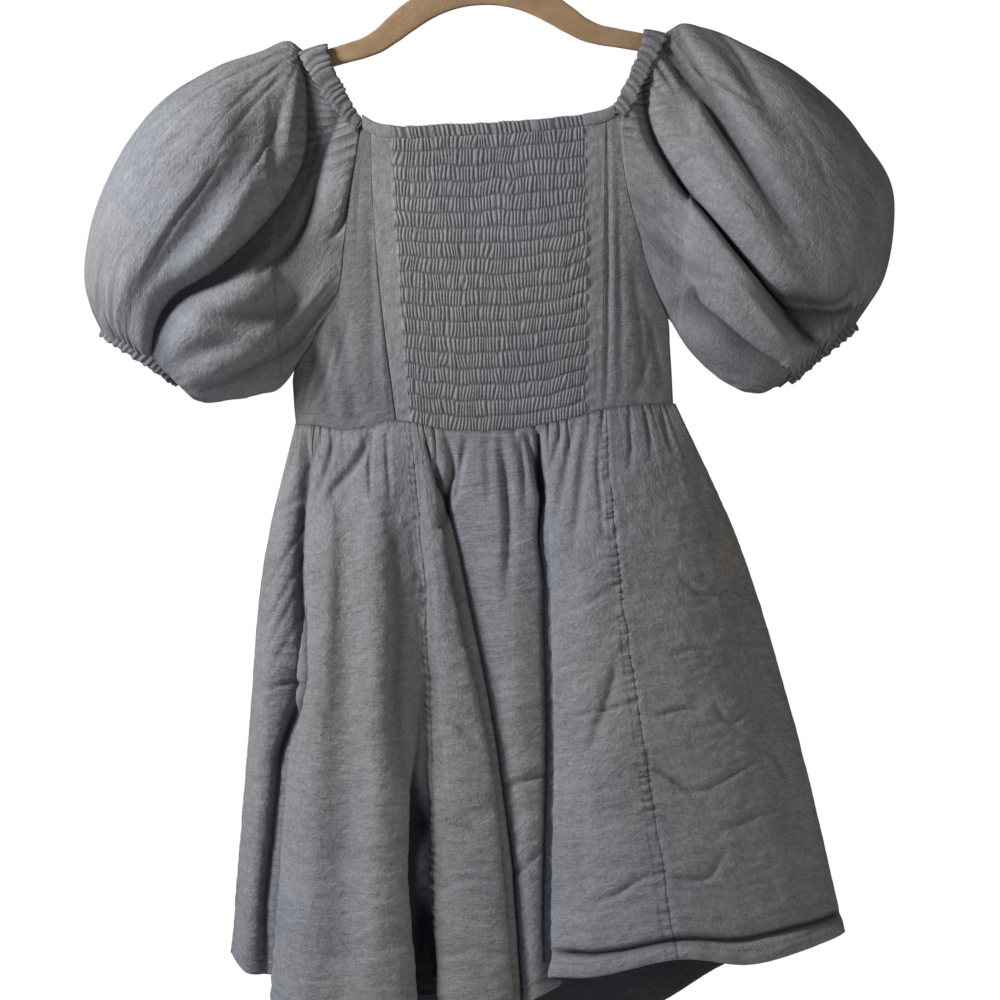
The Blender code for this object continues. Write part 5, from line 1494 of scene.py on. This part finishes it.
def seam_pucker(around, falls, seam, seed):
    """The puckers along a seam: short slanting ripples each side of a fine groove. Returns their
    height, their painted light, with painted shade in the groove and the ripples' valleys and darker
    along the stitch line, and how far the seam strays to the right."""
    aside = (around - seam)[None, :] * SKIRT_GIRTH
    run = falls[:, None] * SKIRT_LENGTH
    loose = 4.4 * line_noise(run, 15.0, seed) + 2.6 * line_noise(run, 5.0, seed + 1)
    ripple = np.cos(2 * math.pi * run / 5.8 + loose + 0.25 * np.abs(aside + 2.5) + 0.12 * aside)
    strong = (0.75 + 0.5 * line_noise(run, 26.0, seed + 2)) * ease(falls / 0.06)[:, None]
    spread = bell((aside + 2.5) / 4.6) * (1 - 0.5 * bell(aside / 0.7))
    groove = bell(aside / 0.9)
    ridge = bell((aside - 4.0) / 2.6)
    stitched = bell((aside + 5.5) / 0.8) * (0.5 + 0.5 * line_noise(run, 2.2, seed + 4))
    relief = 1.0 * ripple * spread * strong - 0.35 * groove + 0.3 * ridge - 0.35 * stitched
    # painted shade in the groove and the ripples' valleys, and darker along the stitch line
    dark = 0.45 * groove * (0.5 - 0.5 * ripple) * strong + 0.6 * spread * strong * np.clip(-ripple, 0, 1) ** 3
    dark = dark + 0.4 * stitched
    sway = 0.8 * line_noise(run, 15.0, seed + 3) * bell(aside / 14.0)
    return relief, 1 - dark.clip(0, 0.8), sway


def hem_fold(around, falls):
    """The turned-up hem: a stitched dip above it all round, and rolled outward on the right.
    Returns its height and its painted light, with painted shade under the roll and in the dip."""
    run = (1 - falls)[:, None] * SKIRT_LENGTH
    dip = -0.45 * bell((run - HEM_TURNED_UP) / 1.3)
    edge = 0.25 * bell(run / 1.6)
    rolled = ease((around - place_of("edge_c")) / 0.02) * ease((place_of("side_right") - around) / 0.02 + 0.4)
    wander = 14.0 + 3.5 * line_noise(around * SKIRT_GIRTH, 60.0, 91)[None, :]
    roll = -4.6 * bell((run - wander) / 2.4) + 2.4 * bell((run - 5.0) / 6.0)
    crush = 0.5 * value_noise(around[None, :] * SKIRT_GIRTH, run * 2.0, 7.0, 92) * bell(run / 16.0)
    # painted shade under the rolled hem on the right and in the stitched dip
    dark = rolled[None, :] * bell((run - wander) / 1.9)
    dark = dark + 0.3 * bell((run - HEM_TURNED_UP) / 0.8)
    return dip + edge + crush + roll * rolled[None, :], 1 - dark.clip(0, 0.96)


def skirt_shape(around, falls):
    """The skirt's outer points, the inner ones of the same cloth, and its painted light."""
    base = skirt_base(around, falls)
    normals = skirt_normals(around, np.clip(falls, 2e-3, 1 - 2e-3))
    side = ease(np.abs(base[..., 1]) / 8.0)
    stand = unit(base / np.array([WAIST_HALF_WIDTH**2, WAIST_HALF_DEPTH**2, np.inf]))
    gathers = waist_gathers(around, falls) * side
    moved = base + stand * gathers[..., None]
    in_front = (around < place_of("side_right"))[None, :] * side
    u, v = around[None, :] * SKIRT_GIRTH, falls[:, None] * SKIRT_LENGTH
    sunk, push_x, push_drop, painted_light = folded(base[..., 0], -base[..., 2], SKIRT_FOLDS)
    sunk, push_x, push_drop = sunk * in_front, push_x * in_front, push_drop * in_front
    painted_light = blend(1.0, painted_light, in_front)
    # painted shade: darker in the gathers' valleys, under the waist seam and almost black in the deepest
    # folds
    painted_light = painted_light * (1 - 0.5 * np.clip(-gathers / PLEAT_DEPTH, 0, 1.3))
    painted_light = painted_light * (1 - 0.7 * bell(v / 1.5))
    painted_light = painted_light * (1 - 0.97 * ease((sunk - 2.5) / 5.0))
    room = np.maximum(np.abs(base[..., 1]) - 2.0, 0.01)
    sunk = np.where(sunk > 0, room * np.tanh(sunk / room), sunk)
    relief = 0.8 * rumple(u, v * 1.3, 85) * ease(falls / 0.1)[:, None]
    relief = relief + 0.45 * value_noise(u * 0.45, v * 1.8, 5.0, 86) * ease(falls / 0.2)[:, None]
    for seam, seed in (("seam_1", 87), ("seam_2", 97)):
        height, seam_painted_light, sway = seam_pucker(around, falls, place_of(seam), seed)
        relief, painted_light, push_x = relief + height, painted_light * seam_painted_light, push_x + sway
    height, hem_painted_light = hem_fold(around, falls)
    relief, painted_light = (relief + height) * (0.35 + 0.65 * side), painted_light * hem_painted_light
    pushed = np.stack([push_x, 0 * push_x, -push_drop], axis=-1)
    outer = moved + normals * (relief - sunk)[..., None] + pushed
    below = np.minimum(deepest(sunk - relief), np.maximum(sunk - relief, room - CLOTH))
    inner = moved - normals * (below + CLOTH)[..., None] + pushed
    return outer, inner, painted_light


def skirt_columns(start, end, count):
    """Places round the cloth from start to end, closer together at the crisp folds and the seams."""
    fine = np.linspace(start, end, 4000)
    close = sum(bell((fine - place_of(line)) * SKIRT_GIRTH / 7.0) for line in CRISP_LINES)
    walked = np.concatenate([[0], np.cumsum(1 + 1.5 * (close[1:] + close[:-1]) / 2)])
    return np.interp(np.linspace(0, walked[-1], count), walked, fine)


def skirt_panel(name, node, start, end, columns, rows, flat, area, rests):
    """A panel of the skirt between two places round the cloth."""
    around = skirt_columns(start + SEAM_SHARE / 2, end - SEAM_SHARE / 2, columns)
    falls = np.linspace(0, 1, rows)
    outer, inner, painted_light = skirt_shape(around, falls)
    u, v = np.meshgrid(around * SKIRT_GIRTH, falls * SKIRT_LENGTH)
    points, faces, at = shell(outer, inner, np.stack([u, v], axis=-1))
    piece = made(name, points, faces, gauze, node, at, shell_painted_light(points, painted_light))


seam_1, seam_2, far_side = (place_of(line) for line in ("seam_1", "seam_2", "side_right"))
# piece, node, the places it runs between, columns, rows, flat size, flat area, what it hangs from
SKIRT_PANELS = [
    ("skirt_left", "skirt_front_left", 0.0, seam_1, 190, 235, (0.26, 0.38), 0.085, "front_side_left"),
    ("skirt_centre", "skirt_front_centre", seam_1, seam_2, 210, 235, (0.28, 0.38), 0.09, "front_centre"),
    ("skirt_right", "skirt_front_right", seam_2, far_side, 110, 235, (0.16, 0.36), 0.045, "front_side_right"),
    ("skirt_rear", "skirt_back", far_side, 1.0, 170, 110, (0.5, 0.4), 0.165, "back_bodice"),
]
for panel in SKIRT_PANELS:
    skirt_panel(*panel)


# The dress hangs clear of a plain pale floor. Soft light comes from the upper left, with a cool
# glow low down and a warm fill on the right, and the camera faces the dress as the photograph does.

# millimetres to a pixel of the photograph, its width in pixels, and how many pixels its middle lies
# to the right of the hook's crown and below it
PIXEL = 0.65
PICTURE_PIXELS = 1000
MIDDLE_RIGHT = 20
MIDDLE_DOWN = 615
CAMERA_AWAY = 1600.0
SENSOR = 36.0
FLOOR_DROP = 1150.0
FLOOR_R = 1.3


def paper_floor():
    material, place, join = finish_of("pale_floor", Base_Color=(0.8, 0.8, 0.8, 1.0))
    join("Roughness", 0.7 + place.noise(30.0) * 0.2)
    ring = [(FLOOR_R * math.cos(t), FLOOR_R * math.sin(t), -FLOOR_DROP * METRES) for t in round_circle(96)]
    mesh = bpy.data.meshes.new("floor")
    mesh.from_pydata(ring, [], [list(range(len(ring)))])
    mesh.materials.append(material)
    floor = bpy.data.objects.new("floor", mesh)
    bpy.context.scene.collection.objects.link(floor)


def soft_light(name, place, aim, size, power, colour):
    lamp = bpy.data.lights.new(name, "AREA")
    lamp.shape = "DISK"
    lamp.size = size
    lamp.energy = power
    lamp.color = colour
    light = bpy.data.objects.new(name, lamp)
    light.location = place
    towards = np.array(aim) - np.array(place)
    light.rotation_euler = (
        math.atan2(math.hypot(towards[0], towards[1]), -towards[2]),
        0.0,
        math.atan2(-towards[0], towards[1]),
    )
    bpy.context.scene.collection.objects.link(light)


def pale_world():
    """White to the camera, and a dim grey to the cloth, so that its folds keep their shading."""
    world = bpy.data.worlds.new("pale_room")
    world.use_nodes = True
    tree = world.node_tree
    tree.nodes.clear()
    seen = tree.nodes.new("ShaderNodeLightPath")
    white = tree.nodes.new("ShaderNodeBackground")
    white.inputs["Color"].default_value = (1.0, 1.0, 1.0, 1.0)
    dim = tree.nodes.new("ShaderNodeBackground")
    dim.inputs["Color"].default_value = (0.78, 0.87, 1.0, 1.0)
    dim.inputs["Strength"].default_value = 0.07
    choose = tree.nodes.new("ShaderNodeMixShader")
    out = tree.nodes.new("ShaderNodeOutputWorld")
    tree.links.new(seen.outputs["Is Camera Ray"], choose.inputs[0])
    tree.links.new(dim.outputs[0], choose.inputs[1])
    tree.links.new(white.outputs[0], choose.inputs[2])
    tree.links.new(choose.outputs[0], out.inputs["Surface"])
    bpy.context.scene.world = world


def photograph_camera():
    """Straight on, 1.6 m off, with the photograph's middle in the middle."""
    lens = bpy.data.cameras.new("camera")
    lens.sensor_width = SENSOR
    lens.lens = SENSOR * CAMERA_AWAY / (PICTURE_PIXELS * PIXEL)
    lens.clip_start = 0.05
    camera = bpy.data.objects.new("camera", lens)
    camera.location = (
        MIDDLE_RIGHT * PIXEL * METRES, -CAMERA_AWAY * METRES, -MIDDLE_DOWN * PIXEL * METRES
    )
    camera.rotation_euler = (math.radians(90), 0.0, 0.0)
    bpy.context.scene.collection.objects.link(camera)
    bpy.context.scene.camera = camera


paper_floor()
soft_light("window", (-0.93, -0.54, 0.12), (0.0, 0.0, -0.33), 0.30, 21.0, (1.0, 0.985, 0.95))
soft_light("low window", (-0.45, -1.3, -0.95), (0.0, 0.0, -0.4), 0.7, 2.0, (0.66, 0.80, 1.0))
soft_light("fill", (1.05, -1.35, -0.25), (0.0, 0.0, -0.4), 0.8, 7.6, (1.0, 0.86, 0.68))
soft_light("behind", (0.5, 1.8, 0.5), (0.0, 0.0, -0.4), 1.2, 8.0, (1.0, 1.0, 1.0))
pale_world()
photograph_camera()
bpy.context.scene.view_settings.view_transform = "Standard"
